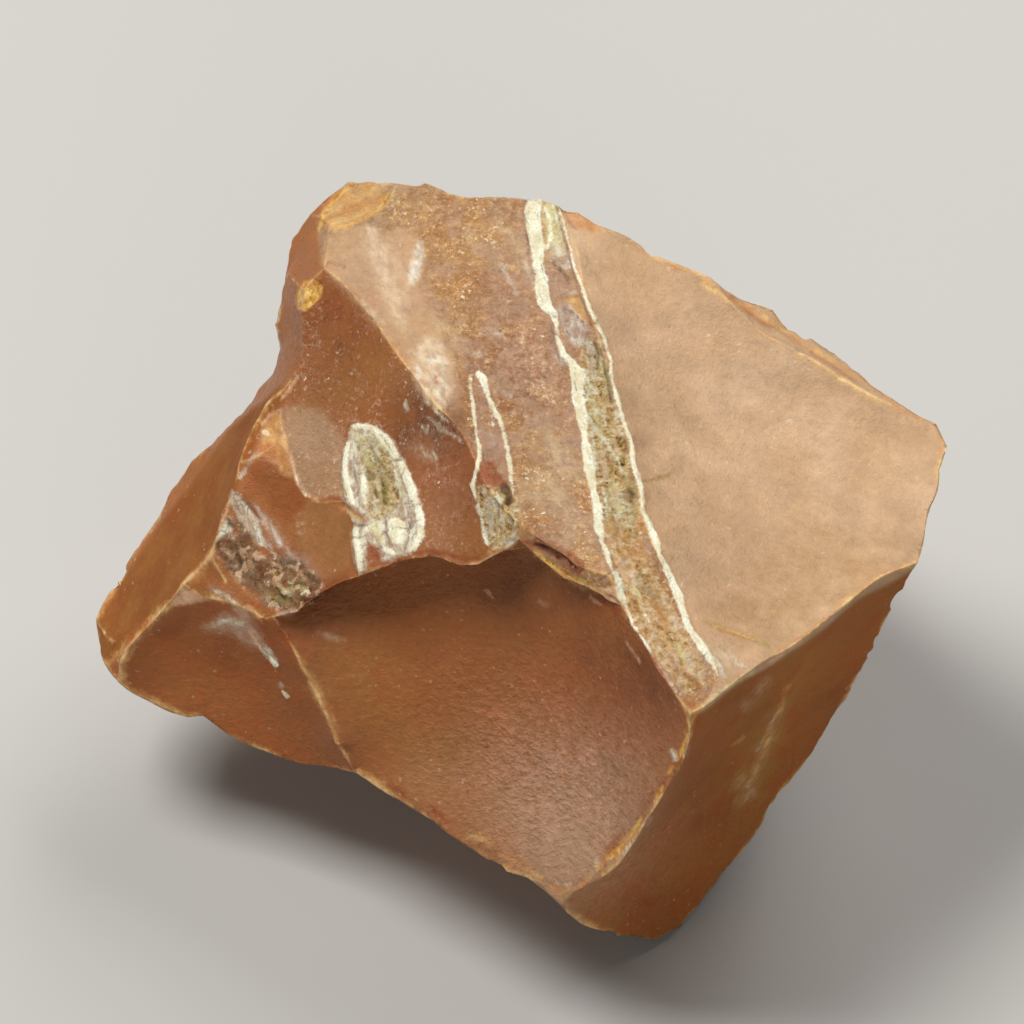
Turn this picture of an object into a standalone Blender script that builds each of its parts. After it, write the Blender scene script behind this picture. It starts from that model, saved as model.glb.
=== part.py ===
"""Petrified wood: one block of silicified wood, broken out by a series of curved fractures.

The stone is drawn as its ridges and the fracture facets stretched between them. Every facet is a
loop of named corners; its surface is the membrane across that loop, sunk (or swollen) at its
middle by the facet's own dish depth, which is what a conchoidal fracture looks like.
"""

import math

import bmesh
import bpy
import numpy as np
from mathutils import Vector, noise
from mathutils.geometry import delaunay_2d_cdt

MM = 0.001

# Driving dimensions, in millimetres
SIZE_FACTOR = 1.0  # scales the whole stone evenly
SHOW_ELEVATION = math.radians(50.0)  # the show side faces the front, this far above the horizon
SHOW_DISTANCE = 500.0  # the show side's corners are drawn as they line up from this far away
MIDDLE_HEIGHT = 27.0  # height of the show side's middle above the resting spot
FACET_STEP = 1.95  # spacing of the facets' inner points and of the points along a ridge
CHIP_DEPTH = 0.30  # how far a ridge wanders off its straight line
CHIP_LENGTH = 3.2  # length of that wandering
SWAY_SHARE = 0.16  # how far a long ridge bends off its line, as a share of its length
SWAY_LENGTH = 11.0  # length of that bending
LUMP_HEIGHT = 0.22  # height of the broad unevenness of every facet
LUMP_LENGTH = 9.0  # length of that unevenness
NOISE_ORIGIN = Vector((31.0, 7.0, 53.0))  # picks one unevenness out of all possible ones
WANDER_SHIFTS = (Vector((9.3, 0.0, 0.0)), Vector((0.0, 7.7, 0.0)), Vector((0.0, 0.0, 5.1)))

STONE_COLOUR = "9A6446"
STONE_ROUGHNESS = 0.55

# Corners of the show side: millimetres to the right, up, and out towards the viewer.
SHOW_CORNERS = {
    # the brow, from the corner nearest the viewer to the tip at the far right
    "nose": (14.5, -12.9, 28.0),
    "brow_a": (18.7, -9.9, 24.5),
    "brow_b": (23.8, -6.8, 20.3),
    "brow_c": (28.9, -2.7, 16.3),
    "brow_d": (31.8, -0.9, 14.0),
    "tip": (33.9, -0.2, 12.0),
    # right-hand end of the bright facet
    "end_a": (34.4, 1.3, 10.6),
    "end_b": (35.7, 6.0, 7.2),
    "end_c": (36.4, 9.7, 4.2),
    "end_d": (35.5, 11.6, 2.6),
    # far rim, from right to left
    "rim_a": (32.7, 13.1, 1.5),
    "rim_b": (30.2, 14.8, 0.0),
    "rim_c": (27.6, 16.9, -0.8),
    "rim_d": (25.1, 18.6, -1.2),
    "rim_e": (22.8, 19.5, -1.0),
    "rim_f": (21.5, 21.1, -1.0),
    "rim_g": (19.1, 22.0, -0.6),
    "rim_h": (17.2, 23.1, 0.2),
    "rim_i": (16.3, 24.0, 1.0),
    "rim_j": (11.7, 25.9, 1.3),
    "rim_k": (8.9, 27.8, 1.2),
    "rim_l": (6.8, 28.5, 1.2),
    "rim_m": (5.1, 29.6, 1.2),
    "crest": (3.2, 30.1, 1.3),
    "rim_n": (1.7, 30.6, 0.9),
    "rim_o": (-1.3, 30.8, 0.9),
    "rim_p": (-5.4, 30.9, 0.6),
    "rim_q": (-7.7, 32.0, 0.0),
    "rim_r": (-10.4, 32.1, -0.4),
    "rim_s": (-11.9, 32.1, -1.2),
    "rim_t": (-14.5, 32.2, -2.0),
    "rim_u": (-16.2, 30.9, -2.0),
    "rim_v": (-17.7, 29.4, -1.0),
    # inner edge of the long flake missing from the far rim
    "flake_a": (31.5, 13.4, 2.9),
    "flake_b": (28.2, 15.0, 2.6),
    "flake_c": (24.5, 17.3, 2.2),
    "flake_d": (21.1, 18.9, 2.0),
    "flake_e": (18.0, 21.8, 1.7),
    # inner edge of the cap chip at the top left
    "cap_a": (-10.9, 30.5, 1.2),
    "cap_b": (-13.2, 29.0, 2.2),
    "cap_c": (-16.2, 28.7, 2.3),
    # the double vein, down the crease between the middle and the bright facet
    "vein_a": (5.5, 23.0, 5.9),
    "vein_b": (7.7, 16.2, 10.1),
    "vein_c": (9.6, 8.5, 14.8),
    "vein_d": (11.9, 0.9, 19.7),
    "vein_e": (15.8, -7.5, 24.9),
    # edge between the middle facet and the red facet
    "apex": (-16.6, 24.9, 4.8),
    "edge_a": (-13.4, 21.7, 7.1),
    "edge_b": (-10.2, 17.4, 10.1),
    "edge_c": (-7.2, 13.4, 12.9),
    "edge_d": (-4.4, 10.4, 15.0),
    "edge_e": (-3.7, 8.5, 16.0),
    "edge_f": (-2.4, 5.8, 17.7),
    "edge_g": (-0.2, 3.3, 19.4),
    # the nick above the lip
    "nick_a": (2.1, 1.7, 20.4),
    "nick_b": (4.7, -0.2, 21.6),
    "nick_c": (7.8, -1.2, 22.6),
    # the overhanging lip of the scoop, from left to right
    "lip_a": (-20.8, -4.8, 4.5),
    "lip_b": (-18.7, -4.3, 5.6),
    "lip_c": (-16.6, -2.6, 7.0),
    "lip_d": (-14.9, -1.7, 9.0),
    "lip_e": (-13.6, -1.4, 9.9),
    "lip_f": (-12.3, -0.9, 10.8),
    "lip_g": (-10.2, 0.0, 11.8),
    "lip_h": (-7.7, 0.4, 13.5),
    "lip_i": (-6.4, 0.2, 14.2),
    "lip_j": (-4.9, -0.3, 15.0),
    "lip_k": (-3.4, -0.2, 15.9),
    "lip_l": (-1.3, 0.9, 17.6),
    "lip_m": (0.0, 1.9, 18.9),
    "lip_n": (1.7, 0.3, 19.4),
    "lip_o": (3.8, -1.4, 20.3),
    "lip_p": (6.4, -2.4, 21.4),
    "lip_q": (8.7, -3.7, 23.0),
    # foot of the undercut, behind the lip
    "under_b": (-18.5, -3.7, 3.6),
    "under_c": (-16.5, -2.0, 4.2),
    "under_d": (-14.7, -1.1, 4.8),
    "under_f": (-12.3, -0.1, 6.2),
    "under_g": (-10.0, 0.8, 7.4),
    "under_h": (-7.5, 1.2, 8.8),
    "under_j": (-4.9, 0.7, 10.4),
    "under_k": (-3.1, 0.9, 11.8),
    "under_l": (-1.0, 1.7, 13.4),
    "under_n": (0.9, 1.4, 15.2),
    "under_o": (3.2, -0.2, 17.0),
    "under_p": (6.0, -1.7, 19.4),
    # ridge between the scoop and the middle facet
    "spur_a": (10.6, -6.8, 25.2),
    "spur_b": (12.9, -10.6, 27.4),
    # front edge, from the nose down to the foot
    "keel_a": (14.4, -15.3, 26.2),
    "keel_b": (13.4, -18.0, 23.4),
    "keel_c": (11.7, -20.8, 20.4),
    "keel_d": (10.2, -23.3, 17.4),
    "keel_e": (8.7, -25.7, 14.4),
    "keel_f": (6.6, -27.2, 11.8),
    "keel_g": (4.7, -28.1, 9.8),
    "foot": (3.7, -29.2, 8.4),
    # lower edge of the scoop, from the foot to the left
    "sole_a": (2.6, -28.2, 7.8),
    "sole_b": (0.9, -26.9, 7.2),
    "sole_c": (-1.7, -26.2, 6.2),
    "sole_d": (-3.4, -24.8, 5.4),
    "sole_e": (-6.8, -22.6, 4.0),
    "sole_f": (-10.2, -20.4, 2.4),
    "sole_g": (-12.3, -19.0, 1.4),
    "heel": (-13.9, -17.9, 0.3),
    # ridge between the scoop and the lower left facet
    "step_a": (-15.5, -15.5, 1.8),
    "step_b": (-17.2, -11.9, 2.7),
    "step_c": (-18.4, -9.2, 3.2),
    "step_d": (-19.3, -7.2, 3.4),
    "step_e": (-20.1, -6.0, 3.7),
    # lower edge of the lower left facet, to the left
    "base_a": (-15.3, -17.7, -1.6),
    "base_b": (-18.3, -17.4, -3.8),
    "base_c": (-21.3, -16.4, -5.0),
    "base_d": (-24.7, -14.9, -5.7),
    "base_e": (-26.8, -13.3, -5.6),
    "base_f": (-29.6, -13.1, -6.3),
    "base_g": (-31.5, -12.1, -6.6),
    "toe_a": (-34.0, -10.5, -6.2),
    "toe_b": (-35.4, -8.3, -7.8),
    "toe_c": (-35.6, -7.2, -8.4),
    "toe_d": (-36.0, -5.1, -9.0),
    # ridge between the left facet and the facets around it, from the top down
    "left_a": (-21.6, 13.3, 2.2),
    "left_b": (-22.8, 10.9, 2.3),
    "left_c": (-23.7, 8.3, 3.0),
    "left_d": (-24.1, 6.1, 3.2),
    "left_e": (-25.3, 3.4, 3.0),
    "left_f": (-26.2, 0.4, 2.8),
    "left_g": (-28.6, -2.0, 1.2),
    "left_h": (-30.8, -4.8, -1.0),
    "left_i": (-32.9, -7.0, -3.0),
    "left_j": (-33.9, -8.7, -4.2),
    # far edge of the left facet
    "far_a": (-22.3, 14.3, -5.0),
    "far_b": (-23.8, 12.1, -8.4),
    "far_c": (-25.2, 10.7, -9.6),
    "far_d": (-27.8, 8.3, -10.5),
    "far_e": (-29.8, 5.3, -11.0),
    "far_f": (-32.0, 1.7, -11.4),
    "far_g": (-34.2, -1.9, -11.0),
    # left edge of the red facet
    "red_a": (-18.4, 23.0, 3.6),
    "red_b": (-18.5, 19.6, 3.7),
    "red_c": (-18.6, 16.3, 3.8),
    "red_d": (-20.1, 14.4, 3.3),
    "red_e": (-20.5, 12.8, 3.1),
    "red_f": (-19.8, 10.6, 3.9),
    "red_g": (-19.3, 8.3, 4.4),
    "red_h": (-18.9, 6.4, 4.8),
    "red_i": (-18.3, 5.1, 5.1),
    # ledge at the foot of the red facet
    "ledge_a": (-16.6, 4.9, 6.6),
    "ledge_b": (-15.0, 5.2, 7.8),
    "ledge_c": (-14.0, 4.4, 8.6),
    "ledge_d": (-12.8, 3.4, 9.6),
    "ledge_e": (-13.9, 0.9, 9.8),
    # the small bright chip below the chipped strip
    "chip_a": (-22.3, 8.7, 3.6),
    "chip_b": (-20.4, 7.1, 4.1),
    "chip_c": (-19.6, 3.7, 3.9),
    "chip_d": (-21.4, 3.7, 3.4),
    # edge between the grainy patch and the facet below the ledge
    "patch_a": (-19.9, 1.7, 3.7),
    "patch_b": (-18.7, -0.4, 4.8),
    # lower edge of the grainy patch
    "patch_c": (-21.9, -4.9, 3.8),
    "patch_d": (-25.1, -3.4, 2.0),
    "patch_e": (-26.8, -3.2, 1.5),
    # the valley in the lower left
    "dale_a": (-30.2, -6.5, -3.1),
    "dale_b": (-26.8, -6.2, -1.8),
    "dale_c": (-23.4, -6.9, -0.2),
    "dale_d": (-21.8, -7.3, 1.2),
    # outer edge on the left, above the left facet
    "neck_a": (-19.3, 27.0, -2.2),
    "neck_b": (-19.7, 24.2, -2.6),
    "neck_c": (-20.1, 21.7, -3.2),
    "neck_d": (-20.3, 17.9, -3.6),
    "neck_e": (-21.1, 15.6, -3.2),
    # outer edge of the dark right-hand facet, from the tip down to the foot
    "hem_a": (32.7, -2.6, 8.4),
    "hem_b": (31.5, -4.5, 5.2),
    "hem_c": (29.9, -8.1, 0.8),
    "hem_d": (28.1, -11.5, -3.0),
    "hem_e": (25.9, -14.7, -5.6),
    "hem_f": (24.1, -17.7, -7.4),
    "hem_g": (21.9, -20.1, -8.6),
    "hem_h": (20.6, -23.1, -9.2),
    "hem_i": (18.7, -25.3, -9.2),
    "hem_j": (16.2, -28.3, -8.6),
    "hem_k": (13.6, -31.3, -7.4),
    "hem_l": (11.5, -32.2, -6.2),
    "hem_m": (8.5, -32.1, -2.8),
    "hem_n": (6.0, -31.3, 1.6),
    "hem_o": (4.3, -30.0, 5.6),
}

# Corners of the back and the underside: millimetres to the right, to the back, and up from the
# resting spot.
BACK_CORNERS = {
    "back_a": (-22.0, 19.0, 19.0),
    "back_b": (-12.0, 28.5, 24.0),
    "back_c": (6.0, 30.0, 20.0),
    "back_d": (22.0, 24.0, 20.0),
    "back_e": (30.0, 14.0, 24.0),
    "back_f": (24.0, 6.0, 8.0),
    "back_g": (12.0, 20.0, 6.0),
    "back_h": (-8.0, 21.0, 7.0),
    "back_i": (-18.0, 8.0, 9.0),
    "rest_a": (8.0, -12.5, 0.0),
    "rest_b": (13.5, -6.0, 0.0),
    "rest_c": (12.0, 7.5, 0.0),
    "rest_d": (-1.0, 11.5, 0.0),
    "rest_e": (-9.5, 5.5, 0.0),
    "rest_f": (-7.0, -5.0, 0.0),
}

# Every facet: dish depth in millimetres, then its corners in order around it.
FACETS = {
    "bright": (
        1.8,
        "brow_a brow_b brow_c brow_d tip end_a end_b end_c end_d flake_a flake_b flake_c flake_d"
        " flake_e rim_i rim_j rim_k rim_l rim_m crest vein_a vein_b vein_c vein_d vein_e",
    ),
    "flake": (0.3, "end_d rim_a rim_b rim_c rim_d rim_e rim_f rim_g rim_h rim_i flake_e flake_d flake_c"
              " flake_b flake_a"),
    "nose_chip": (0.1, "nose brow_a vein_e"),
    "middle": (
        0.7,
        "cap_a rim_r rim_q rim_p rim_o rim_n crest vein_a vein_b vein_c vein_d vein_e nose spur_b"
        " spur_a lip_q nick_c nick_b nick_a edge_g edge_f edge_e edge_d edge_c edge_b edge_a apex"
        " cap_c cap_b",
    ),
    "cap": (0.3, "cap_a cap_b cap_c rim_v rim_u rim_t rim_s rim_r"),
    "shoulder": (0.3, "cap_c apex red_a neck_b neck_a rim_v"),
    "strip": (0.4, "red_a red_b red_c red_d red_e left_a far_a neck_e neck_d neck_c neck_b"),
    "red": (
        0.9,
        "apex edge_a edge_b edge_c edge_d edge_e edge_f edge_g lip_m lip_l lip_k lip_j lip_i lip_h"
        " lip_g lip_f lip_e ledge_e ledge_d ledge_c ledge_b ledge_a red_i red_h red_g red_f red_e"
        " red_d red_c red_b red_a",
    ),
    "nick": (0.7, "edge_g nick_a nick_b nick_c lip_q lip_p lip_o lip_n lip_m"),
    "chipped": (0.3, "left_a red_e red_f red_g red_h chip_b chip_a left_c left_b"),
    "chip": (0.2, "left_c chip_a chip_b red_h red_i chip_c chip_d left_d"),
    "below_ledge": (
        0.7,
        "chip_c red_i ledge_a ledge_b ledge_c ledge_d ledge_e lip_e lip_d lip_c patch_b patch_a chip_d",
    ),
    "patch": (
        0.5,
        "left_d chip_d patch_a patch_b lip_c lip_b lip_a patch_c patch_d patch_e left_g left_f left_e",
    ),
    "wedge": (0.3, "left_g patch_e patch_d patch_c dale_d dale_c dale_b dale_a left_i left_h"),
    "lower_left": (
        0.8,
        "left_i dale_a dale_b dale_c dale_d patch_c lip_a step_e step_d step_c step_b step_a heel"
        " base_a base_b base_c base_d base_e base_f base_g toe_a left_j",
    ),
    "toe": (0.1, "left_i left_j toe_a toe_b toe_c"),
    "left": (
        0.5,
        "left_a left_b left_c left_d left_e left_f left_g left_h left_i toe_c toe_d far_g far_f"
        " far_e far_d far_c far_b far_a",
    ),
    "undercut": (
        0.3,
        "lip_a lip_b lip_c lip_d lip_e lip_f lip_g lip_h lip_i lip_j lip_k lip_l lip_m lip_n lip_o"
        " lip_p lip_q under_p under_o under_n under_l under_k under_j under_h under_g under_f"
        " under_d under_c under_b",
    ),
    "scoop": (
        2.2,
        "lip_a under_b under_c under_d under_f under_g under_h under_j under_k under_l under_n"
        " under_o under_p lip_q spur_a spur_b nose keel_a keel_b keel_c keel_d keel_e keel_f keel_g"
        " foot sole_a sole_b sole_c sole_d sole_e sole_f sole_g heel step_a step_b step_c step_d"
        " step_e",
    ),
    "right": (
        1.0,
        "nose keel_a keel_b keel_c keel_d keel_e keel_f keel_g foot hem_o hem_n hem_m hem_l hem_k"
        " hem_j hem_i hem_h hem_g hem_f hem_e hem_d hem_c hem_b hem_a tip brow_d brow_c brow_b brow_a",
    ),
    "nape": (
        1.0,
        "far_b far_a neck_e neck_d neck_c neck_b neck_a rim_v rim_u rim_t back_b back_a",
    ),
    "left_back": (1.0, "toe_d far_g far_f far_e far_d far_c far_b back_a back_i"),
    "under_left": (
        1.2,
        "toe_d back_i rest_e rest_f heel base_a base_b base_c base_d base_e base_f base_g toe_a"
        " toe_b toe_c",
    ),
    "under_front": (
        0.8,
        "heel sole_g sole_f sole_e sole_d sole_c sole_b sole_a foot hem_o hem_n hem_m hem_l rest_a"
        " rest_f",
    ),
    "under_right": (
        0.6,
        "hem_l hem_k hem_j hem_i hem_h hem_g hem_f hem_e hem_d back_f rest_c rest_b rest_a",
    ),
    "right_back": (1.0, "hem_d hem_c hem_b hem_a tip end_a end_b end_c back_e back_f"),
    "back_right": (
        1.6,
        "end_c end_d rim_a rim_b rim_c rim_d rim_e rim_f rim_g rim_h rim_i rim_j rim_k rim_l rim_m"
        " crest back_c back_d back_e",
    ),
    "back_left": (1.4, "crest rim_n rim_o rim_p rim_q rim_r rim_s rim_t back_b back_c"),
    "back_low_right": (0.8, "back_e back_d back_g rest_c back_f"),
    "back_low": (1.0, "back_d back_c back_b back_h rest_d rest_c back_g"),
    "back_low_left": (0.9, "back_b back_a back_i rest_e rest_d back_h"),
    "rest": (0.0, "rest_a rest_b rest_c rest_d rest_e rest_f"),
}


def shown(right, up, out):
    """The place of a point given as the show side is seen."""
    sin, cos = math.sin(SHOW_ELEVATION), math.cos(SHOW_ELEVATION)
    nearer = 1 - out / SHOW_DISTANCE
    right, up = right * nearer, up * nearer
    return Vector((right, up * sin - out * cos, up * cos + out * sin + MIDDLE_HEIGHT))


def corner_places():
    """Every named corner, in millimetres, the resting spot at height nought."""
    places = {name: shown(*corner) for name, corner in SHOW_CORNERS.items()}
    places.update({name: Vector(corner) for name, corner in BACK_CORNERS.items()})
    return places


def outward_loops(places):
    """Each facet's corner names, ordered so that the facet faces out of the stone."""
    cage = bmesh.new()
    verts = {name: cage.verts.new(place) for name, place in places.items()}
    names = {vert: name for name, vert in verts.items()}
    faces = {name: cage.faces.new([verts[c] for c in loop.split()]) for name, (_, loop) in FACETS.items()}
    for edge in cage.edges:
        if len(edge.link_faces) != 2:
            raise ValueError("open ridge: " + " ".join(names[v] for v in edge.verts))
    bmesh.ops.recalc_face_normals(cage, faces=cage.faces[:])
    loops = {name: [names[v] for v in face.verts] for name, face in faces.items()}
    cage.free()
    return loops


def area_normal(points):
    """The direction that a closed loop of points faces."""
    total = Vector()
    for here, there in zip(points, points[1:] + points[:1]):
        total += here.cross(there)
    return total.normalized()


def wander(point, length):
    """A direction that changes smoothly with the place, over about the given length."""
    place = point / length + NOISE_ORIGIN
    return Vector([noise.noise(place + shift) for shift in WANDER_SHIFTS])


def ridge_point(start, end, share):
    """A point on the broken ridge between two corners: nibbled, and bent where the ridge is long."""
    straight = start.lerp(end, share)
    bend = (end - start).length * SWAY_SHARE * math.sin(math.pi * share)
    off = wander(straight, CHIP_LENGTH) * CHIP_DEPTH + wander(straight, SWAY_LENGTH) * bend
    if start.z == end.z == 0:
        off.z = 0  # the border of the resting spot stays in its plane
    return straight + off


class Stone:
    """Points and triangles of the whole stone, ridge points shared by the facets on both sides."""

    def __init__(self, places):
        self.points = list(places.values())
        self.index = {name: i for i, name in enumerate(places)}
        self.ridges = {}
        self.triangles = []

    def ridge(self, start, end):
        """Point numbers from one corner to the next, the last corner left out."""
        key = tuple(sorted((start, end)))
        if key not in self.ridges:
            a, b = (self.points[self.index[name]] for name in key)
            count = max(1, round((b - a).length / FACET_STEP))
            self.ridges[key] = list(range(len(self.points), len(self.points) + count - 1))
            self.points += [ridge_point(a, b, step / count) for step in range(1, count)]
        inner = self.ridges[key]
        return [self.index[start]] + (inner if start == key[0] else inner[::-1])

    def facet(self, loop, dish):
        """Stretch one facet across its loop of corners."""
        border = []
        for start, end in zip(loop, loop[1:] + loop[:1]):
            border += self.ridge(start, end)
        rim = [self.points[i] for i in border]
        normal = area_normal(rim)
        across = normal.orthogonal().normalized()
        along = normal.cross(across)
        flat = np.array([(p.dot(across), p.dot(along)) for p in rim])
        seeds = inner_grid(flat, FACET_STEP)
        sites = [Vector(p) for p in np.vstack([flat, seeds])]
        made = delaunay_2d_cdt(sites, [], [list(range(len(rim)))], 1, 1e-5)
        if len(made[0]) != len(sites):
            raise ValueError("facet folds over itself: " + " ".join(loop))
        triangles = [upright(triangle, sites) for triangle in made[2]]
        inner = membrane(rim, len(seeds), triangles, normal * -dish)
        numbers = border + list(range(len(self.points), len(self.points) + len(inner)))
        self.points += inner
        self.triangles += [[numbers[i] for i in triangle] for triangle in triangles]


def upright(triangle, sites):
    """A triangle turned so that it faces the way its facet does."""
    a, b, c = (sites[i] for i in triangle)
    return list(triangle) if (b - a).cross(c - a) > 0 else list(triangle)[::-1]


def inner_grid(border, step):
    """Evenly staggered points inside a flat loop, clear of its border."""
    low, high = border.min(axis=0), border.max(axis=0)
    row_height = step * math.sqrt(3) / 2
    after = np.roll(border, -1, axis=0)
    sides = after - border
    kept = []
    for row, v in enumerate(np.arange(low[1], high[1], row_height)):
        for u in np.arange(low[0] + step / 2 * (row % 2), high[0], step):
            crossing = (border[:, 1] > v) != (after[:, 1] > v)
            reach = border[crossing, 0] + (v - border[crossing, 1]) * sides[crossing, 0] / sides[crossing, 1]
            if np.count_nonzero(reach > u) % 2 == 0:
                continue
            gap = np.array((u, v)) - border
            share = np.clip((gap * sides).sum(axis=1) / (sides**2).sum(axis=1), 0, 1)
            if np.linalg.norm(gap - sides * share[:, None], axis=1).min() > step * 0.55:
                kept.append((u, v))
    return np.array(kept).reshape(-1, 2)


def membrane(rim, inner_count, triangles, sink):
    """Places of a facet's inner points: evenly taut between the rim's points, then sunk."""
    if not inner_count:
        return []
    fixed = len(rim)
    pulls = np.zeros((inner_count, inner_count))
    held = np.zeros((inner_count, 3))
    pairs = {pair for t in triangles for pair in zip(t, t[1:] + t[:1])}
    pairs |= {pair[::-1] for pair in pairs}
    for a, b in pairs:
        if a < fixed:
            continue
        pulls[a - fixed, a - fixed] += 1
        if b < fixed:
            held[a - fixed] += rim[b]
        else:
            pulls[a - fixed, b - fixed] -= 1
    taut = np.linalg.solve(pulls, held)
    depth = np.linalg.solve(pulls, np.ones(inner_count))
    return [Vector(p) + sink * d for p, d in zip(taut, depth / depth.max())]


def stone_mesh():
    """The whole stone in metres, its origin under the middle of its bounding box."""
    places = corner_places()
    stone = Stone(places)
    for name, loop in outward_loops(places).items():
        stone.facet(loop, FACETS[name][0])
    body = bmesh.new()
    verts = [body.verts.new(point) for point in stone.points]
    for triangle in stone.triangles:
        body.faces.new([verts[i] for i in triangle])
    body.normal_update()
    for vert in verts:
        if vert.co.z > 0.01:
            lump = noise.noise(vert.co / LUMP_LENGTH + NOISE_ORIGIN)
            vert.co += vert.normal * lump * LUMP_HEIGHT
    low = [min(v.co[i] for v in verts) for i in range(3)]
    high = [max(v.co[i] for v in verts) for i in range(3)]
    middle = Vector(((low[0] + high[0]) / 2, (low[1] + high[1]) / 2, 0.0))
    bmesh.ops.translate(body, vec=-middle, verts=verts)
    bmesh.ops.scale(body, vec=Vector((MM, MM, MM)) * SIZE_FACTOR, verts=verts)
    mesh = bpy.data.meshes.new("petrified_wood")
    body.to_mesh(mesh)
    body.free()
    return mesh


def linear(channel):
    """One sRGB channel, 0 to 255, as the linear value that a shader takes."""
    value = channel / 255
    return value / 12.92 if value <= 0.04045 else ((value + 0.055) / 1.055) ** 2.4


def stone_material():
    """Red-brown jasper: silica that took the place of the wood, dull where it is broken."""
    material = bpy.data.materials.new("petrified_wood")
    material.use_nodes = True
    shader = material.node_tree.nodes["Principled BSDF"]
    colour = [linear(channel) for channel in bytes.fromhex(STONE_COLOUR)]
    shader.inputs["Base Color"].default_value = (*colour, 1.0)
    shader.inputs["Roughness"].default_value = STONE_ROUGHNESS
    shader.inputs["Metallic"].default_value = 0.0
    return material


def main():
    for old in list(bpy.data.objects):
        bpy.data.objects.remove(old)
    stone = bpy.data.objects.new("petrified_wood", stone_mesh())
    stone.data.materials.append(stone_material())
    bpy.context.scene.collection.objects.link(stone)


main()
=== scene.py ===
"""Petrified wood: a broken block of red-brown jasper with cream-walled shipworm borings.

Each operator makes one piece. The stone copies the solid, refines it, breaks its ridges and gives
every vertex the fields that its material draws the veins, borings, worn edges and the painted
highlight on its sharp ridges from.
"""

import math

import bmesh
import bpy
import numpy as np
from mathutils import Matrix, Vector, kdtree, noise


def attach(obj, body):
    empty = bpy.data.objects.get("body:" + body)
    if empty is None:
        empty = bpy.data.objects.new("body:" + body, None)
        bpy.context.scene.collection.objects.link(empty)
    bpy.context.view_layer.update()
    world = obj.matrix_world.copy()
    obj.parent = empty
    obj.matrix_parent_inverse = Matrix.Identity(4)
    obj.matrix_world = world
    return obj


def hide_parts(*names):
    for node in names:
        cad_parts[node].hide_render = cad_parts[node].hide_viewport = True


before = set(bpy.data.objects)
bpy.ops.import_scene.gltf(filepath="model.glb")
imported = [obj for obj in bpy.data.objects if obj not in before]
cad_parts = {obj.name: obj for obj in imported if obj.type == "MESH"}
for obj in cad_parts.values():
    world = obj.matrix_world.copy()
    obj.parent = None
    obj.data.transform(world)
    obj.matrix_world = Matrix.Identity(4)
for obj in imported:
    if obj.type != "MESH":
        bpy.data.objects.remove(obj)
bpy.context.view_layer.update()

bl_info = {
    "name": "Petrified wood",
    "version": (1, 0, 0),
    "blender": (4, 5, 0),
    "location": "View3D > Sidebar > Petrified wood",
    "description": "A broken block of petrified wood and the stage it lies on",
    "category": "Object",
}

NODE = "petrified_wood"
MM = 0.001

# The show side: the direction it faces, and the middle of it. Marks are placed in millimetres
# to the right and up as that side is seen from half a metre away.
SHOW_ELEVATION = math.radians(50.0)
SHOW_MIDDLE = (0.3645, -1.3154, 27.0)
SHOW_DISTANCE = 500.0
# The way the old wood's grain runs, which the vein and the borings follow.
GRAIN = (0.28, -0.735, -0.617)

# Walls of the double vein, from the crest down (right, up, half-width). Minerals that follow are
# outlines (right, up) or strokes (right, up, half-width).
LEFT_WALL = (
    (1.1, 31.28, 0.77), (1.19, 29.16, 0.68), (1.28, 27.54, 0.72), (1.53, 26.18, 0.55),
    (1.62, 24.91, 0.51), (1.7, 23.46, 0.68), (2.12, 22.1, 0.68), (2.81, 20.91, 0.43),
    (3.06, 19.98, 0.27), (3.32, 18.7, 0.27), (3.66, 17.51, 0.34), (4.42, 16.83, 0.47),
    (4.85, 15.73, 0.64), (4.85, 14.2, 0.55), (5.02, 13.26, 0.38), (5.27, 11.39, 0.34),
    (5.53, 9.95, 0.38), (5.78, 8.67, 0.47), (6.04, 7.4, 0.47), (6.29, 5.95, 0.41),
    (6.55, 4.5, 0.41), (6.72, 3.23, 0.36), (6.97, 2.12, 0.29), (7.23, 1.19, 0.27),
    (7.48, 0.51, 0.19), (7.74, -0.43, 0.19), (8.16, -0.94, 0.22), (8.5, -2.04, 0.31),
    (8.67, -3.15, 0.39), (9.18, -4.25, 0.2), (9.44, -5.19, 0.21), (10.2, -6.29, 0.14),
    (10.97, -7.31, 0.13), (11.65, -8.42, 0.11), (12.41, -9.52, 0.09), (13.26, -11.05, 0.07),
)
RIGHT_WALL = (
    (3.06, 31.03, 0.1), (3.4, 29.5, 0.12), (3.91, 28.05, 0.14), (4.5, 25.5, 0.15),
    (5.1, 23.8, 0.17), (5.61, 22.19, 0.19), (6.38, 20.49, 0.2), (7.23, 18.87, 0.2),
    (7.65, 17.17, 0.2), (7.82, 15.3, 0.2), (8.33, 13.43, 0.22), (8.67, 12.16, 0.22),
    (9.1, 10.88, 0.24), (9.44, 9.61, 0.26), (9.61, 8.16, 0.3), (10.03, 6.89, 0.3),
    (10.29, 5.61, 0.24), (10.54, 4.17, 0.24), (11.05, 2.89, 0.31), (11.48, 1.79, 0.31),
    (11.73, 0.68, 0.26), (12.5, -0.6, 0.34), (12.92, -1.87, 0.34), (13.52, -2.98, 0.44),
    (13.77, -4.08, 0.34), (14.28, -5.36, 0.34), (14.96, -6.46, 0.38), (15.47, -7.31, 0.43),
    (16.15, -8.25, 0.41), (16.58, -9.1, 0.21), (16.83, -9.69, 0.09),
)
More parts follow.
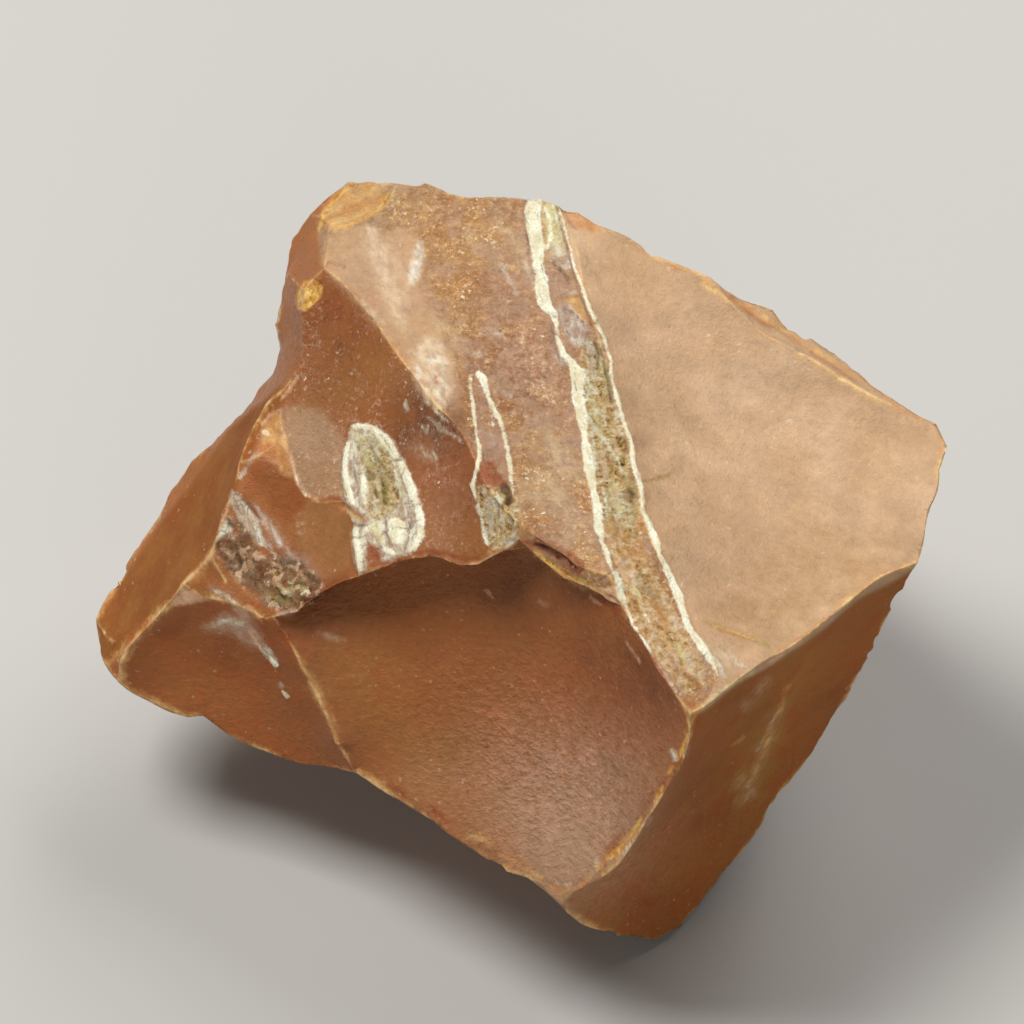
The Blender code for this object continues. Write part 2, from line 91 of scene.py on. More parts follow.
MARKS = {
    "chalk": (
        ((-14.45, 10.79), (-14.28, 11.48), (-13.77, 11.65), (-12.92, 11.56), (-12.07, 11.31),
         (-11.22, 10.71), (-10.54, 9.78), (-10.03, 8.84), (-9.44, 7.48), (-9.01, 6.38),
         (-8.59, 5.27), (-8.33, 4.08), (-8.16, 2.98), (-8.16, 2.12), (-8.67, 1.28), (-9.27, 0.68),
         (-9.86, 0.51), (-10.54, 0.34), (-11.05, 0), (-11.73, -0.09), (-12.33, 1.02),
         (-12.92, 1.53), (-13.09, 0.68), (-13.01, -0.17), (-13.09, -0.85), (-13.6, -1.1),
         (-13.94, -0.6), (-14.11, 0.43), (-14.28, 1.28), (-14.28, 2.3), (-14.11, 3.06),
         (-14.54, 4.08), (-14.88, 4.85), (-15.05, 5.53), (-15.13, 6.8), (-15.22, 8.08),
         (-14.96, 9.18), (-14.54, 10.2)),
        ((-7.65, 16.92, 0.08), (-7.23, 17.17, 0.09), (-6.8, 16.66, 0.07)),
        ((-7.57, 14.96, 0.08), (-7.06, 14.37, 0.1), (-6.63, 14.71, 0.07)),
        ((-7.65, 17.68, 0.06), (-6.97, 17.34, 0.1), (-6.55, 16.32, 0.1), (-6.38, 15.13, 0.08)),
        ((-8.67, 26.86, 0.07), (-8.5, 26.01, 0.15), (-8.76, 24.99, 0.19), (-9.18, 24.06, 0.12)),
        ((-9.69, 13.43, 0.14), (-9.61, 12.84, 0.14)),
        ((-8.25, 11.48, 0.12), (-7.91, 10.97, 0.13)),
        ((-8.08, 9.18, 0.09), (-7.82, 8.93, 0.09)),
        ((-7.31, 9.18, 0.08), (-7.06, 8.76, 0.09)),
        ((-7.74, 12.33, 0.07), (-7.14, 11.73, 0.09), (-6.8, 11.05, 0.07)),
        ((-6.8, 11.48, 0.07), (-5.78, 10.71, 0.08), (-4.93, 10.2, 0.06)),
        ((-8.08, 13.6, 0.05), (-7.06, 12.75, 0.06), (-6.21, 11.9, 0.05)),
        ((-24.48, 5.87), (-23.97, 5.7), (-23.12, 4.68), (-22.27, 3.4), (-21.85, 2.12),
         (-21.59, 1.19), (-22.1, 1.19), (-22.78, 1.87), (-23.55, 2.89), (-24.23, 4), (-24.74, 4.85)),
        ((-24.91, 3.4), (-24.4, 2.81), (-24.48, 2.3), (-25.16, 2.04), (-25.84, 1.45),
         (-25.59, 2.47)),
        ((-25.84, -2.55, 0.13), (-24.99, -3.06, 0.14), (-24.31, -3.66, 0.09)),
        ((-25.84, -5.44, 0.07), (-24.65, -5.02, 0.14), (-23.63, -5.44, 0.15)),
        ((-21.93, -7.31, 0.26), (-21.42, -7.82, 0.34), (-20.91, -8.59, 0.27)),
        ((-20.4, -10.46, 0.14), (-20.23, -10.71, 0.15)),
        ((12.92, -15.98, 0.17), (13.18, -16.66, 0.19)),
        ((22.78, 11.9, 0.12), (23.04, 11.73, 0.14)),
    ),
    "crumb": (
        ((-13.6, 10.46), (-12.75, 10.71), (-11.9, 9.95), (-11.22, 9.1), (-10.71, 8.16),
         (-10.37, 7.06), (-10.03, 6.12), (-9.95, 5.1), (-10.54, 4.42), (-11.05, 3.91),
         (-11.9, 3.4), (-12.75, 3.66), (-13.01, 4.42), (-12.75, 5.53), (-13.01, 6.8),
         (-13.43, 8.08), (-13.77, 9.35)),
        ((-3.83, 6.38), (-2.98, 6.21), (-1.96, 6.21), (-1.02, 6.29), (-0.34, 5.1), (-0.09, 3.83),
         (-0.09, 2.55), (-0.43, 1.7), (-1.28, 1.28), (-2.12, 1.19), (-2.72, 1.45), (-3.15, 2.55),
         (-3.57, 4.68)),
        ((2.81, 29.41, 0.07), (3.15, 28.39, 0.1), (3.32, 27.37, 0.07)),
        ((5.36, 18.28), (5.95, 18.87), (6.63, 18.53), (7.23, 17.34), (7.57, 15.98), (7.82, 14.28),
         (8.25, 12.58), (8.84, 10.88), (9.27, 9.18), (9.44, 7.65), (9.86, 6.12), (10.2, 4.42),
         (9.69, 3.06), (10.2, 2.04), (9.69, 1.53), (8.5, 1.62), (7.48, 2.04), (7.14, 3.23),
         (6.97, 4.68), (6.55, 6.8), (6.12, 8.93), (5.87, 11.05), (5.53, 13.18), (5.61, 15.3),
         (5.44, 16.83)),
        ((10.2, -0.85, 0.14), (11.05, -2.55, 0.17)),
        ((9.69, -0.85), (10.71, -1.02), (11.22, -2.55), (10.54, -3.06), (9.86, -2.04)),
    ),
    "straw": (
        ((-13.86, 10.71, 0.21), (-13.52, 10.03, 0.29), (-13.09, 9.18, 0.31), (-12.75, 8.16, 0.22)),
        ((-12.16, 10.54, 0.17), (-11.48, 9.61, 0.17), (-10.97, 8.67, 0.15)),
        ((-12.58, 3.06, 0.26), (-12.16, 2.38, 0.31), (-11.9, 1.7, 0.2)),
        ((1.79, 30.26), (2.81, 30.35), (3.4, 29.58), (3.74, 28.22), (3.91, 26.69), (3.4, 25.84),
         (2.72, 26.35), (2.21, 27.2), (2.12, 28.56)),
        ((5.61, 15.98, 0.14), (5.95, 14.28, 0.17), (6.29, 12.58, 0.17), (6.8, 11.22, 0.12)),
        ((7.65, 6.97, 0.17), (8.16, 5.44, 0.22), (8.67, 3.91, 0.2)),
        ((6.55, 17.85, 0.12), (7.06, 16.32, 0.15), (7.4, 14.62, 0.14)),
        ((7.23, 4.42, 0.09), (7.74, 3.4, 0.17), (8.16, 2.55, 0.1)),
        ((6.8, 17.17, 0.07), (7.14, 15.81, 0.12), (7.48, 14.28, 0.08)),
        ((13.26, -6.8, 0.07), (13.86, -8.16, 0.12), (14.45, -9.35, 0.08)),
        ((9.35, -1.87, 0.06), (9.86, -2.72, 0.11), (10.29, -3.57, 0.07)),
        ((15.13, -12.58, 0.07), (16.49, -11.39, 0.12), (18.02, -10.37, 0.1), (19.72, -9.35, 0.07)),
        ((-20.57, -2.04, 0.07), (-20.06, -2.47, 0.12), (-19.55, -2.89, 0.09)),
        ((-18.7, -2.38, 0.09), (-18.19, -2.72, 0.14)),
        ((-19.72, -2.55, 0.07), (-18.96, -2.38, 0.12), (-18.19, -2.55, 0.08)),
    ),
    "cream": (
        ((-14.11, 11.39, 0.2), (-13.26, 11.43, 0.22), (-12.41, 11.14, 0.27), (-11.65, 10.54, 0.37),
         (-11.05, 9.78, 0.41), (-10.54, 8.93, 0.31)),
        ((-10.12, 8.25, 0.31), (-9.69, 7.23, 0.37), (-9.27, 6.12, 0.37), (-8.93, 5.19, 0.31)),
        ((-8.67, 4.42, 0.27), (-8.42, 3.23, 0.31), (-8.5, 2.04, 0.32), (-9.01, 1.1, 0.26)),
        ((-11.22, 3.49), (-10.37, 3.74), (-9.78, 3.23), (-9.52, 2.21), (-9.95, 1.45),
         (-10.71, 1.45), (-11.22, 2.21)),
        ((-11.48, 1.02, 0.19), (-10.97, 0.77, 0.24), (-10.54, 0.6, 0.14)),
        ((-14.62, 9.95, 0.17), (-14.79, 8.67, 0.22), (-14.79, 7.31, 0.24), (-14.54, 5.95, 0.26),
         (-14.2, 4.85, 0.2)),
        ((-13.26, 7.06, 0.19), (-13.35, 5.95, 0.19), (-13.09, 4.85, 0.2)),
        ((-12.67, 9.01, 0.09), (-12.41, 8.42, 0.09)),
        ((-10.62, 7.65, 0.09), (-10.37, 6.63, 0.1), (-10.2, 5.44, 0.1)),
        ((-13.94, 2.72, 0.22), (-13.94, 1.7, 0.24), (-13.69, 0.51, 0.26), (-13.52, -0.68, 0.24)),
        ((-4.17, 15.81, 0.09), (-4.25, 14.62, 0.1), (-4.08, 13.6, 0.14), (-3.91, 12.16, 0.14),
         (-3.74, 10.88, 0.1), (-3.49, 9.69, 0.14), (-3.49, 8.76, 0.17), (-3.66, 8.08, 0.17),
         (-3.83, 7.14, 0.11), (-4.08, 6.55, 0.19), (-3.91, 5.87, 0.1), (-3.57, 4.85, 0.11),
         (-3.32, 3.91, 0.15), (-3.23, 3.06, 0.11), (-3.06, 2.21, 0.17), (-2.81, 1.53, 0.17)),
        ((-3.57, 15.9, 0.26), (-3.23, 15.56, 0.34), (-2.98, 14.79, 0.26), (-2.72, 13.86, 0.19),
         (-2.3, 13.01, 0.17), (-1.87, 12.16, 0.2), (-1.53, 11.31, 0.17), (-1.28, 10.2, 0.15),
         (-1.02, 8.93, 0.2), (-0.85, 7.99, 0.2), (-0.77, 6.97, 0.17), (-0.6, 5.87, 0.09)),
        ((-2.72, 14.03, 0.1), (-2.47, 12.58, 0.09), (-2.3, 11.48, 0.08)),
        ((-1.96, 5.87, 0.09), (-1.79, 5.36, 0.12), (-1.62, 4.93, 0.09)),
        ((2.12, 29.92, 0.12), (2.55, 28.73, 0.15), (2.64, 27.54, 0.19), (2.38, 26.52, 0.14)),
        ((2.72, 30.35, 0.09), (2.98, 29.58, 0.11), (3.15, 28.9, 0.09)),
        ((5.61, 16.32, 0.1), (5.87, 14.88, 0.14), (5.61, 13.6, 0.14)),
        ((5.27, 13.26, 0.17), (5.87, 11.9, 0.19), (6.72, 10.88, 0.14), (7.65, 9.61, 0.14),
         (8.42, 8.5, 0.11), (8.59, 7.4, 0.09)),
        ((6.04, 11.22, 0.12), (6.29, 9.61, 0.1), (6.46, 8.16, 0.1), (6.89, 6.29, 0.09),
         (7.31, 4.85, 0.1), (7.31, 3.4, 0.08)),
        ((7.65, 4.59, 0.05), (8.08, 3.83, 0.09), (8.33, 3.06, 0.05)),
        ((8.5, 5.1, 0.04), (9.01, 4.25, 0.08), (9.27, 3.49, 0.04)),
        ((6.29, 15.98, 0.05), (6.55, 14.79, 0.09), (6.72, 13.6, 0.05)),
        ((6.97, 12.58, 0.04), (7.31, 11.56, 0.07)),
        ((10.2, -3.91, 0.04), (10.62, -4.59, 0.08), (10.97, -5.19, 0.04)),
        ((12.58, -5.78, 0.04), (13.01, -6.46, 0.08)),
        ((-19.72, -1.7, 0.06), (-19.3, -1.96, 0.09)),
        ((-21.59, -2.04, 0.05), (-21.17, -2.3, 0.08)),
        ((-18.7, -2.89, 0.06), (-18.19, -2.64, 0.08)),
        ((-21.08, -8.5, 0.17), (-20.74, -8.93, 0.22)),
        ((-20.06, -11.22, 0.17), (-19.8, -11.56, 0.22)),
        ((-21.76, 10.97, 0.2), (-21.51, 10.71, 0.22)),
        ((-20.32, 11.56, 0.03), (-19.98, 9.86, 0.06), (-19.46, 8.33, 0.07), (-18.87, 6.55, 0.05),
         (-18.28, 5.53, 0.03)),
        ((-18.45, 22.1, 0.1), (-18.02, 22.78, 0.15), (-17.6, 23.21, 0.1)),
    ),
    "rust": (
        ((-12.92, 1.28), (-12.33, 1.53), (-11.73, 1.02), (-11.48, 0.51), (-11.9, 0),
         (-12.58, -0.09), (-12.84, 0.6)),
        ((-16.49, 5.27, 0.09), (-15.98, 5.27, 0.13), (-15.3, 5.02, 0.19), (-14.45, 4.5, 0.27),
         (-13.6, 3.91, 0.31), (-12.92, 3.4, 0.17)),
        # This stroke and the next two run along the lip of the hollow: partly rust, partly painted
        # shade at the lip.
        ((-19.04, -3.91, 0.09), (-17.68, -3.06, 0.14), (-16.15, -2.04, 0.15), (-14.79, -1.45, 0.14)),
        ((-9.01, 0.6, 0.12), (-7.65, 0.77, 0.19), (-6.29, 0.51, 0.22), (-4.93, 0.17, 0.22),
         (-3.4, 0.17, 0.22), (-2.04, 0.51, 0.2), (-1.02, 0.94, 0.15)),
        ((-12.58, -0.43, 0.12), (-11.22, -0.09, 0.15), (-10.2, 0.26, 0.12)),
        ((-3.4, 7.99), (-3.06, 8.67), (-2.38, 8.59), (-1.96, 7.65), (-1.45, 7.23), (-1.02, 6.55),
         (-1.7, 6.29), (-2.55, 6.63), (-3.23, 6.97), (-3.66, 7.48)),
        ((-7.31, 15.64, 0.15), (-7.14, 15.13, 0.14)),
        ((4.85, 22.44, 0.15), (5.1, 22.02, 0.22)),
        ((6.63, 18.28, 0.12), (6.89, 17.85, 0.15), (7.06, 17.17, 0.1)),
        ((8.67, 5.44, 0.05), (9.1, 5.61, 0.1), (9.52, 5.61, 0.07)),
        ((7.4, 8.93, 0.07), (7.74, 8.16, 0.1)),
        ((10.71, -2.04, 0.04), (11.22, -2.89, 0.08), (11.65, -3.74, 0.04)),
        ((12.58, -7.82, 0.06), (13.09, -8.67, 0.1), (13.43, -9.52, 0.06)),
        ((10.2, -6.8, 0.09), (11.22, -8.16, 0.15), (12.24, -9.52, 0.19), (13.26, -10.88, 0.2)),
        ((13.94, -9.52, 0.1), (14.79, -10.03, 0.15), (15.3, -10.71, 0.12)),
        ((7.82, -0.68, 0.07), (8.67, 0, 0.1), (9.69, 0.94, 0.1)),
        ((0.34, 1.7), (1.7, 2.04), (2.72, 1.7), (3.83, 1.1), (5.1, 0.26), (5.61, -0.51),
         (5.1, -1.19), (3.91, -0.68), (2.72, 0.34), (1.53, 1.02)),
        ((6.38, -2.47), (7.65, -2.72), (8.67, -3.4), (9.1, -4.08), (8.08, -4.42), (7.14, -3.66),
         (6.46, -3.15)),
        ((-21.93, -0.51, 0.06), (-21.51, -0.85, 0.1), (-21.08, -0.68, 0.06)),
        ((-20.57, -1.7, 0.05), (-20.06, -2.04, 0.09), (-19.55, -2.21, 0.06)),
        ((-18.7, -3.06, 0.06), (-18.02, -3.23, 0.1), (-17.43, -2.98, 0.06)),
        ((-22.44, -0.51, 0.07), (-21.93, -1.1, 0.12), (-21.25, -1.45, 0.08)),
        ((-23.29, -2.04, 0.06), (-22.61, -2.55, 0.1), (-21.93, -2.89, 0.07)),
        ((6.63, -2.72), (7.82, -2.89), (8.67, -3.57), (9.01, -4.42), (7.99, -4.25), (6.97, -3.57)),
        ((-17.17, 22.19, 0.1), (-16.83, 22.87, 0.12)),
        ((-16.83, 24.82, 0.1), (-16.15, 25.33, 0.14), (-14.88, 24.99, 0.1)),
        ((10.37, -21.59), (11.39, -19.72), (11.14, -21.42), (10.2, -22.61)),
        ((11.22, -19.55, 0.09), (10.88, -20.66, 0.29), (10.37, -21.42, 0.12)),
        ((7.14, -24.48), (8.84, -22.87), (9.18, -23.29), (7.74, -24.74)),
        ((12.41, -18.36, 0.09), (12.07, -19.21, 0.17), (11.56, -19.98, 0.09)),
        ((-11.22, -19.21, 0.17), (-10.54, -19.55, 0.29), (-9.86, -19.98, 0.17)),
        ((-7.65, -21.08, 0.26), (-6.97, -21.59, 0.34), (-6.29, -22.27, 0.17)),
        ((10.54, 6.89, 0.03), (11.48, 7.06, 0.07), (12.58, 7.4, 0.06)),
        ((17, -5.7, 0.03), (18.7, -6.21, 0.07), (20.06, -6.8, 0.05)),
        ((3.91, 29.58, 0.12), (4.25, 28.73, 0.15), (4.76, 28.22, 0.1)),
        ((18.02, 22.27, 0.2), (19.72, 21.08, 0.29), (21.25, 19.89, 0.2)),
        ((24.82, 17.68, 0.14), (26.86, 16.49, 0.19), (28.56, 15.3, 0.14)),
    ),
    "amber": (
        ((-15.47, 4.76, 0.1), (-14.45, 4.17, 0.17), (-13.6, 3.57, 0.17)),
        ((3.91, 22.44), (5.1, 22.44), (5.61, 21.25), (5.78, 20.06), (5.1, 20.57), (4.42, 21.59)),
        ((7.14, 3.57), (7.82, 3.74), (8.67, 3.4), (9.35, 2.55), (10.03, 1.87), (10.37, 1.45),
         (9.52, 1.45), (8.67, 1.7), (7.82, 2.04), (7.31, 2.55)),
        ((8.33, 7.65, 0.08), (8.84, 6.8, 0.14), (9.1, 6.12, 0.08)),
        ((7.48, 12.92, 0.07), (7.82, 11.9, 0.12), (8.16, 11.05, 0.07)),
        ((8.67, 1.19, 0.09), (9.52, 0.85, 0.17), (10.54, 0.34, 0.14), (11.05, -0.17, 0.07)),
        ((11.39, -3.4, 0.07), (12.07, -4.76, 0.14), (12.58, -5.78, 0.09)),
        ((11.9, -5.95, 0.07), (12.41, -6.8, 0.12), (12.92, -7.82, 0.08)),
        ((1.1, 1.02, 0.09), (2.38, -0.17, 0.24), (3.57, -1.1, 0.32), (4.76, -1.79, 0.32),
         (5.95, -2.21, 0.26)),
        ((-22.27, 9.18), (-21.93, 11.22), (-21.08, 12.58), (-20.4, 12.75), (-20.06, 11.05),
         (-19.46, 8.93), (-19.21, 6.97), (-20.06, 7.48), (-21.08, 8.5)),
        ((-35.36, -9.18, 0.17), (-34, -7.65, 0.26), (-32.3, -5.95, 0.26), (-30.6, -4.42, 0.26),
         (-29.67, -3.66, 0.17)),
        ((-17.26, 28.73), (-16.15, 30.6), (-14.88, 31.71), (-13.43, 32.05), (-11.9, 31.79),
         (-11.22, 30.6), (-12.58, 29.41), (-14.28, 28.56), (-15.81, 27.88)),
        ((5.95, -26.69, 0.09), (5.19, -27.37, 0.24), (4.59, -27.71, 0.1)),
        ((4.08, -27.88, 0.1), (3.4, -27.88, 0.22), (2.72, -27.46, 0.09)),
        ((6.46, -25.84, 0.12), (7.48, -24.91, 0.27), (8.5, -23.97, 0.29), (9.52, -23.04, 0.17)),
        ((-4.42, -23.46, 0.17), (-3.4, -23.46, 0.26), (-2.38, -23.97, 0.17)),
        ((-1.7, -24.82, 0.13), (0, -25.67, 0.21), (1.7, -26.86, 0.17)),
        ((17.94, -15.73, 0.03), (18.53, -15.3, 0.07), (18.96, -14.96, 0.03)),
        ((22.19, -12.41, 0.12), (22.36, -11.39, 0.17), (22.78, -10.54, 0.1)),
        ((21.42, -14.11, 0.09), (22.02, -12.92, 0.19), (22.36, -11.9, 0.1)),
        ((20.15, -17.34, 0.07), (20.66, -16.15, 0.15), (21.25, -15.13, 0.09)),
        ((19.38, -19.21, 0.04), (19.89, -18.11, 0.09), (20.4, -17, 0.06)),
        ((20.74, -15.47, 0.04), (21.17, -14.54, 0.09), (21.59, -13.77, 0.05)),
        ((3.83, 30.09), (5.1, 30.01), (6.63, 29.07), (7.14, 27.88), (6.12, 27.88), (4.93, 28.39),
         (4.08, 29.24)),
        ((15.3, 23.63, 0.17), (17, 22.78, 0.26), (19.12, 21.59, 0.29), (21.42, 20.23, 0.29),
         (23.8, 18.53, 0.26), (26.35, 17, 0.22), (28.9, 15.47, 0.26), (31.45, 13.77, 0.26),
         (34, 12.07, 0.17)),
    ),
    "crack": (
        ((-11.48, 3.91, 0.06), (-11.31, 2.72, 0.07), (-11.05, 1.28, 0.07)),
        ((-10.54, 4.25, 0.06), (-9.78, 4.93, 0.07), (-8.93, 5.19, 0.07)),
        ((-9.52, 4.25, 0.06), (-9.35, 3.06, 0.08), (-9.52, 1.7, 0.07), (-9.86, 0.68, 0.06)),
        ((-11.22, 8.42, 0.06), (-10.54, 8.59, 0.08), (-10.12, 8.59, 0.07)),
        ((-14.37, 3.23, 0.06), (-13.6, 2.98, 0.08), (-12.92, 3.06, 0.07), (-12.41, 3.32, 0.06)),
        ((-14.2, 1.96, 0.05), (-13.52, 1.96, 0.07), (-13.09, 2.21, 0.06)),
        ((-15.13, 8.93, 0.07), (-15.26, 7.31, 0.08), (-15.05, 5.61, 0.08), (-14.54, 4.25, 0.07)),
        ((-14.11, 9.18, 0.05), (-14.11, 7.82, 0.07), (-13.86, 6.46, 0.06), (-13.6, 4.68, 0.06)),
        ((-11.9, 10.79, 0.05), (-11.22, 9.95, 0.06), (-10.79, 9.18, 0.05)),
        ((-9.1, 3.4, 0.05), (-8.42, 3.49, 0.05)),
        ((-10.29, 7.48, 0.05), (-9.86, 6.8, 0.06), (-9.61, 5.7, 0.06)),
        ((-11.56, 2.47, 0.04), (-10.54, 2.81, 0.07), (-9.35, 2.72, 0.06)),
        ((-12.5, 2.38, 0.04), (-12.16, 1.62, 0.06), (-11.56, 1.02, 0.05)),
        ((-10.03, 9.27, 0.03), (-9.69, 8.08, 0.05), (-10.03, 7.31, 0.04)),
        ((1.45, 30.09, 0.03), (1.53, 28.73, 0.04), (1.7, 27.37, 0.03)),
        ((1.79, 25.33, 0.03), (1.96, 24.31, 0.05), (2.3, 23.46, 0.04)),
        ((2.47, 22.78, 0.03), (2.81, 21.93, 0.05), (3.15, 21.34, 0.03)),
        ((4.59, 15.98, 0.03), (4.76, 14.62, 0.04), (4.93, 13.43, 0.03)),
        ((5.7, 9.86, 0.03), (5.95, 8.5, 0.03), (6.12, 7.31, 0.03)),
        ((3.32, 28.73, 0.04), (3.91, 26.78, 0.05), (4.5, 24.48, 0.06), (5.1, 22.61, 0.06),
         (5.95, 20.4, 0.06), (6.72, 18.53, 0.05)),
        ((3.06, 30.09, 0.04), (3.4, 28.73, 0.06), (3.83, 27.2, 0.06), (4.33, 25.33, 0.05)),
        ((3.23, 20.66, 0.05), (3.74, 21.42, 0.08), (4.59, 21.08, 0.08), (5.36, 20.23, 0.08),
         (5.7, 19.3, 0.07), (5.36, 18.45, 0.05)),
        ((3.83, 19.98, 0.04), (4.08, 20.66, 0.07), (4.59, 20.4, 0.07), (5.02, 19.64, 0.07),
         (4.85, 18.96, 0.07), (4.33, 19.21, 0.05)),
        ((3.4, 20.57, 0.06), (4, 19.46, 0.07), (4.5, 18.53, 0.06)),
        ((2.3, 20.91, 0.09), (2.64, 20.23, 0.1), (2.72, 19.21, 0.11), (3.06, 18.02, 0.1),
         (3.4, 16.83, 0.09)),
        ((5.87, -2.04, 0.04), (6.55, -1.53, 0.06), (7.14, -1.28, 0.07), (7.74, -0.77, 0.06),
         (8.16, -0.51, 0.03)),
    ),
    "dark": (
        ((-12.67, 9.69, 0.1), (-12.58, 9.44, 0.09)),
        ((-12.41, 9.18, 0.06), (-11.99, 8.42, 0.09), (-11.48, 7.82, 0.07)),
        ((-12.41, 6.04, 0.12), (-12.16, 5.44, 0.1)),
        ((-10.62, 5.95, 0.07), (-10.54, 5.44, 0.1)),
        ((-13.77, 9.69, 0.09), (-13.69, 9.44, 0.07)),
        ((-11.22, 7.23, 0.09), (-10.97, 6.97, 0.08)),
        ((-12.58, 7.48, 0.07), (-12.5, 6.97, 0.07)),
        ((-11.56, 5.1, 0.08), (-11.31, 4.76, 0.07)),
        ((-13.09, 7.31, 0.07), (-12.75, 6.89, 0.09)),
        ((-11.9, 6.97, 0.06), (-11.65, 6.38, 0.09)),
        ((-10.88, 4.85, 0.06), (-10.54, 4.59, 0.08)),
        ((-1.7, 6.63), (-1.1, 6.8), (-0.68, 6.12), (-0.6, 5.27), (-0.94, 4.68), (-1.36, 5.1),
         (-1.19, 5.78), (-1.62, 6.12)),
        ((-2.3, 5.36, 0.06), (-1.96, 4.59, 0.11), (-1.87, 3.83, 0.07)),
        ((-1.02, 4.08, 0.07), (-0.68, 3.4, 0.1), (-0.77, 2.72, 0.07)),
        ((0.51, 29.41, 0.07), (0.6, 27.63, 0.06), (0.77, 25.93, 0.06)),
        ((2.81, 25.33, 0.1), (3.4, 24.74, 0.14), (3.91, 24.06, 0.11), (4.17, 23.55, 0.06)),
        ((2.38, 21.08, 0.07), (3.06, 20.66, 0.06)),
        ((6.29, 18.7, 0.07), (6.63, 17.68, 0.09), (6.55, 16.32, 0.08)),
        ((7.06, 17, 0.07), (7.4, 15.3, 0.08), (7.74, 13.6, 0.06)),
        ((8.76, 5.87, 0.05), (9.18, 6.04, 0.09), (9.69, 5.87, 0.07)),
        ((9.01, 5.44, 0.06), (9.44, 5.27, 0.09), (9.69, 4.93, 0.05)),
        ((8.16, 10.54, 0.05), (8.59, 9.86, 0.07)),
        ((7.57, 15.64, 0.05), (7.82, 14.79, 0.07)),
        ((7.31, 6.29, 0.05), (7.57, 5.61, 0.07)),
        ((1.28, 1.45, 0.14), (2.55, 0.94, 0.2), (3.83, 0.17, 0.19), (4.68, -0.51, 0.1)),
        ((-24.23, 5.7, 0.05), (-23.46, 5.02, 0.08), (-22.61, 4.17, 0.09), (-22.02, 3.49, 0.07)),
        ((-24.14, 0.43, 0.07), (-23.72, -0.26, 0.12), (-23.97, -0.85, 0.07)),
        ((-21.08, -2.21, 0.07), (-20.49, -2.55, 0.1), (-20.06, -3.15, 0.07)),
        ((-19.04, -3.23, 0.09), (-18.19, -3.49, 0.09), (-17.68, -3.23, 0.08)),
    ),
    "milky": (
        ((-12.92, 9.69, 0.07), (-12.67, 10.12, 0.09), (-12.24, 10.03, 0.07)),
        ((-12.07, 7.65, 0.06), (-11.82, 7.4, 0.09)),
        ((-2.47, 10.88, 0.2), (-2.38, 10.2, 0.22)),
        ((-1.45, 1.62), (-1.02, 1.96), (-0.51, 2.04), (-0.34, 1.62), (-0.77, 1.28), (-1.28, 1.28)),
        ((-2.89, 5.53, 0.13), (-2.55, 4.08, 0.17), (-2.64, 2.72, 0.21)),
        ((-7.99, 16.49, 0.09), (-7.82, 17.17, 0.1), (-7.31, 17.51, 0.1)),
        ((-6.72, 15.98, 0.08), (-6.46, 14.96, 0.1), (-6.72, 14.11, 0.09)),
        ((-8.59, 17.68, 0.04), (-8.76, 16.49, 0.07), (-8.5, 15.13, 0.07), (-7.91, 13.94, 0.05)),
        ((-8.76, 27.03), (-8.42, 27.2), (-8.25, 26.35), (-8.42, 25.08), (-8.67, 23.97),
         (-9.1, 23.46), (-9.44, 23.8), (-9.52, 24.57), (-9.27, 25.16), (-9.01, 25.84),
         (-8.93, 26.52)),
        ((-1.7, 25.33, 0.07), (-1.02, 24.06, 0.12), (-0.34, 22.61, 0.09)),
        ((0.34, 25.33, 0.05), (0.94, 23.97, 0.09), (1.45, 22.78, 0.06)),
        ((-2.72, 19.98, 0.06), (-2.21, 19.46, 0.09), (-1.7, 19.21, 0.06)),
        ((-3.91, 17.68, 0.09), (-3.4, 17.43, 0.12)),
        ((-1.28, 14.28, 0.06), (-0.77, 13.94, 0.1)),
        ((0.94, 26.35, 0.05), (1.1, 25.33, 0.09), (1.28, 24.14, 0.05)),
        ((2.55, 27.2), (3.4, 26.86), (4.08, 26.01), (4.42, 24.82), (3.91, 24.65), (3.06, 25.33)),
        ((3.23, 29.24, 0.09), (3.66, 27.88, 0.1), (4.08, 26.35, 0.1), (4.59, 24.82, 0.09)),
        ((3.49, 22.87, 0.05), (4.25, 22.7, 0.08), (5.1, 22.7, 0.06)),
        ((2.98, 21.51), (3.74, 21.85), (4.59, 21.42), (5.44, 20.74), (5.95, 19.89), (5.87, 18.7),
         (5.27, 18.02), (4.5, 18.28), (3.91, 18.96), (3.4, 20.23)),
        ((3.49, 21.17, 0.08), (4, 20.23, 0.1), (4.5, 19.21, 0.12), (5.02, 18.45, 0.1)),
        ((4.25, 21.17, 0.08), (4.93, 20.4, 0.09), (5.36, 19.38, 0.09)),
        ((2.81, 17.77, 0.1), (3.23, 17.26, 0.12), (3.74, 16.83, 0.14)),
        ((2.72, 18.19, 0.1), (3.06, 17.34, 0.17), (3.57, 16.75, 0.17)),
        ((5.95, 18.28, 0.17), (6.12, 17.17, 0.26), (6.04, 15.98, 0.26)),
        ((6.8, 9.01, 0.07), (7.14, 7.99, 0.14), (7.4, 6.97, 0.09)),
        ((16.66, -7.82, 0.07), (17.09, -8.84, 0.14), (17.17, -9.69, 0.1)),
        ((17.51, -7.82, 0.06), (18.36, -8.5, 0.11), (19.21, -8.84, 0.08)),
        ((-22.61, 4.68, 0.07), (-21.76, 3.57, 0.17), (-20.91, 2.38, 0.2), (-20.23, 1.28, 0.14)),
        ((-21.76, 1.62, 0.17), (-21.25, 1.1, 0.12)),
        ((-19.98, 1.1, 0.1), (-19.38, 0.51, 0.15), (-18.87, 0, 0.09)),
        ((-20.57, -4.59, 0.07), (-19.89, -4.42, 0.12), (-19.21, -4.25, 0.09)),
        ((-23.8, 6.97, 0.05), (-23.12, 8.16, 0.08), (-22.36, 9.18, 0.08)),
        ((-18.87, 3.83, 0.04), (-18.53, 3.91, 0.08), (-18.19, 4.08, 0.03)),
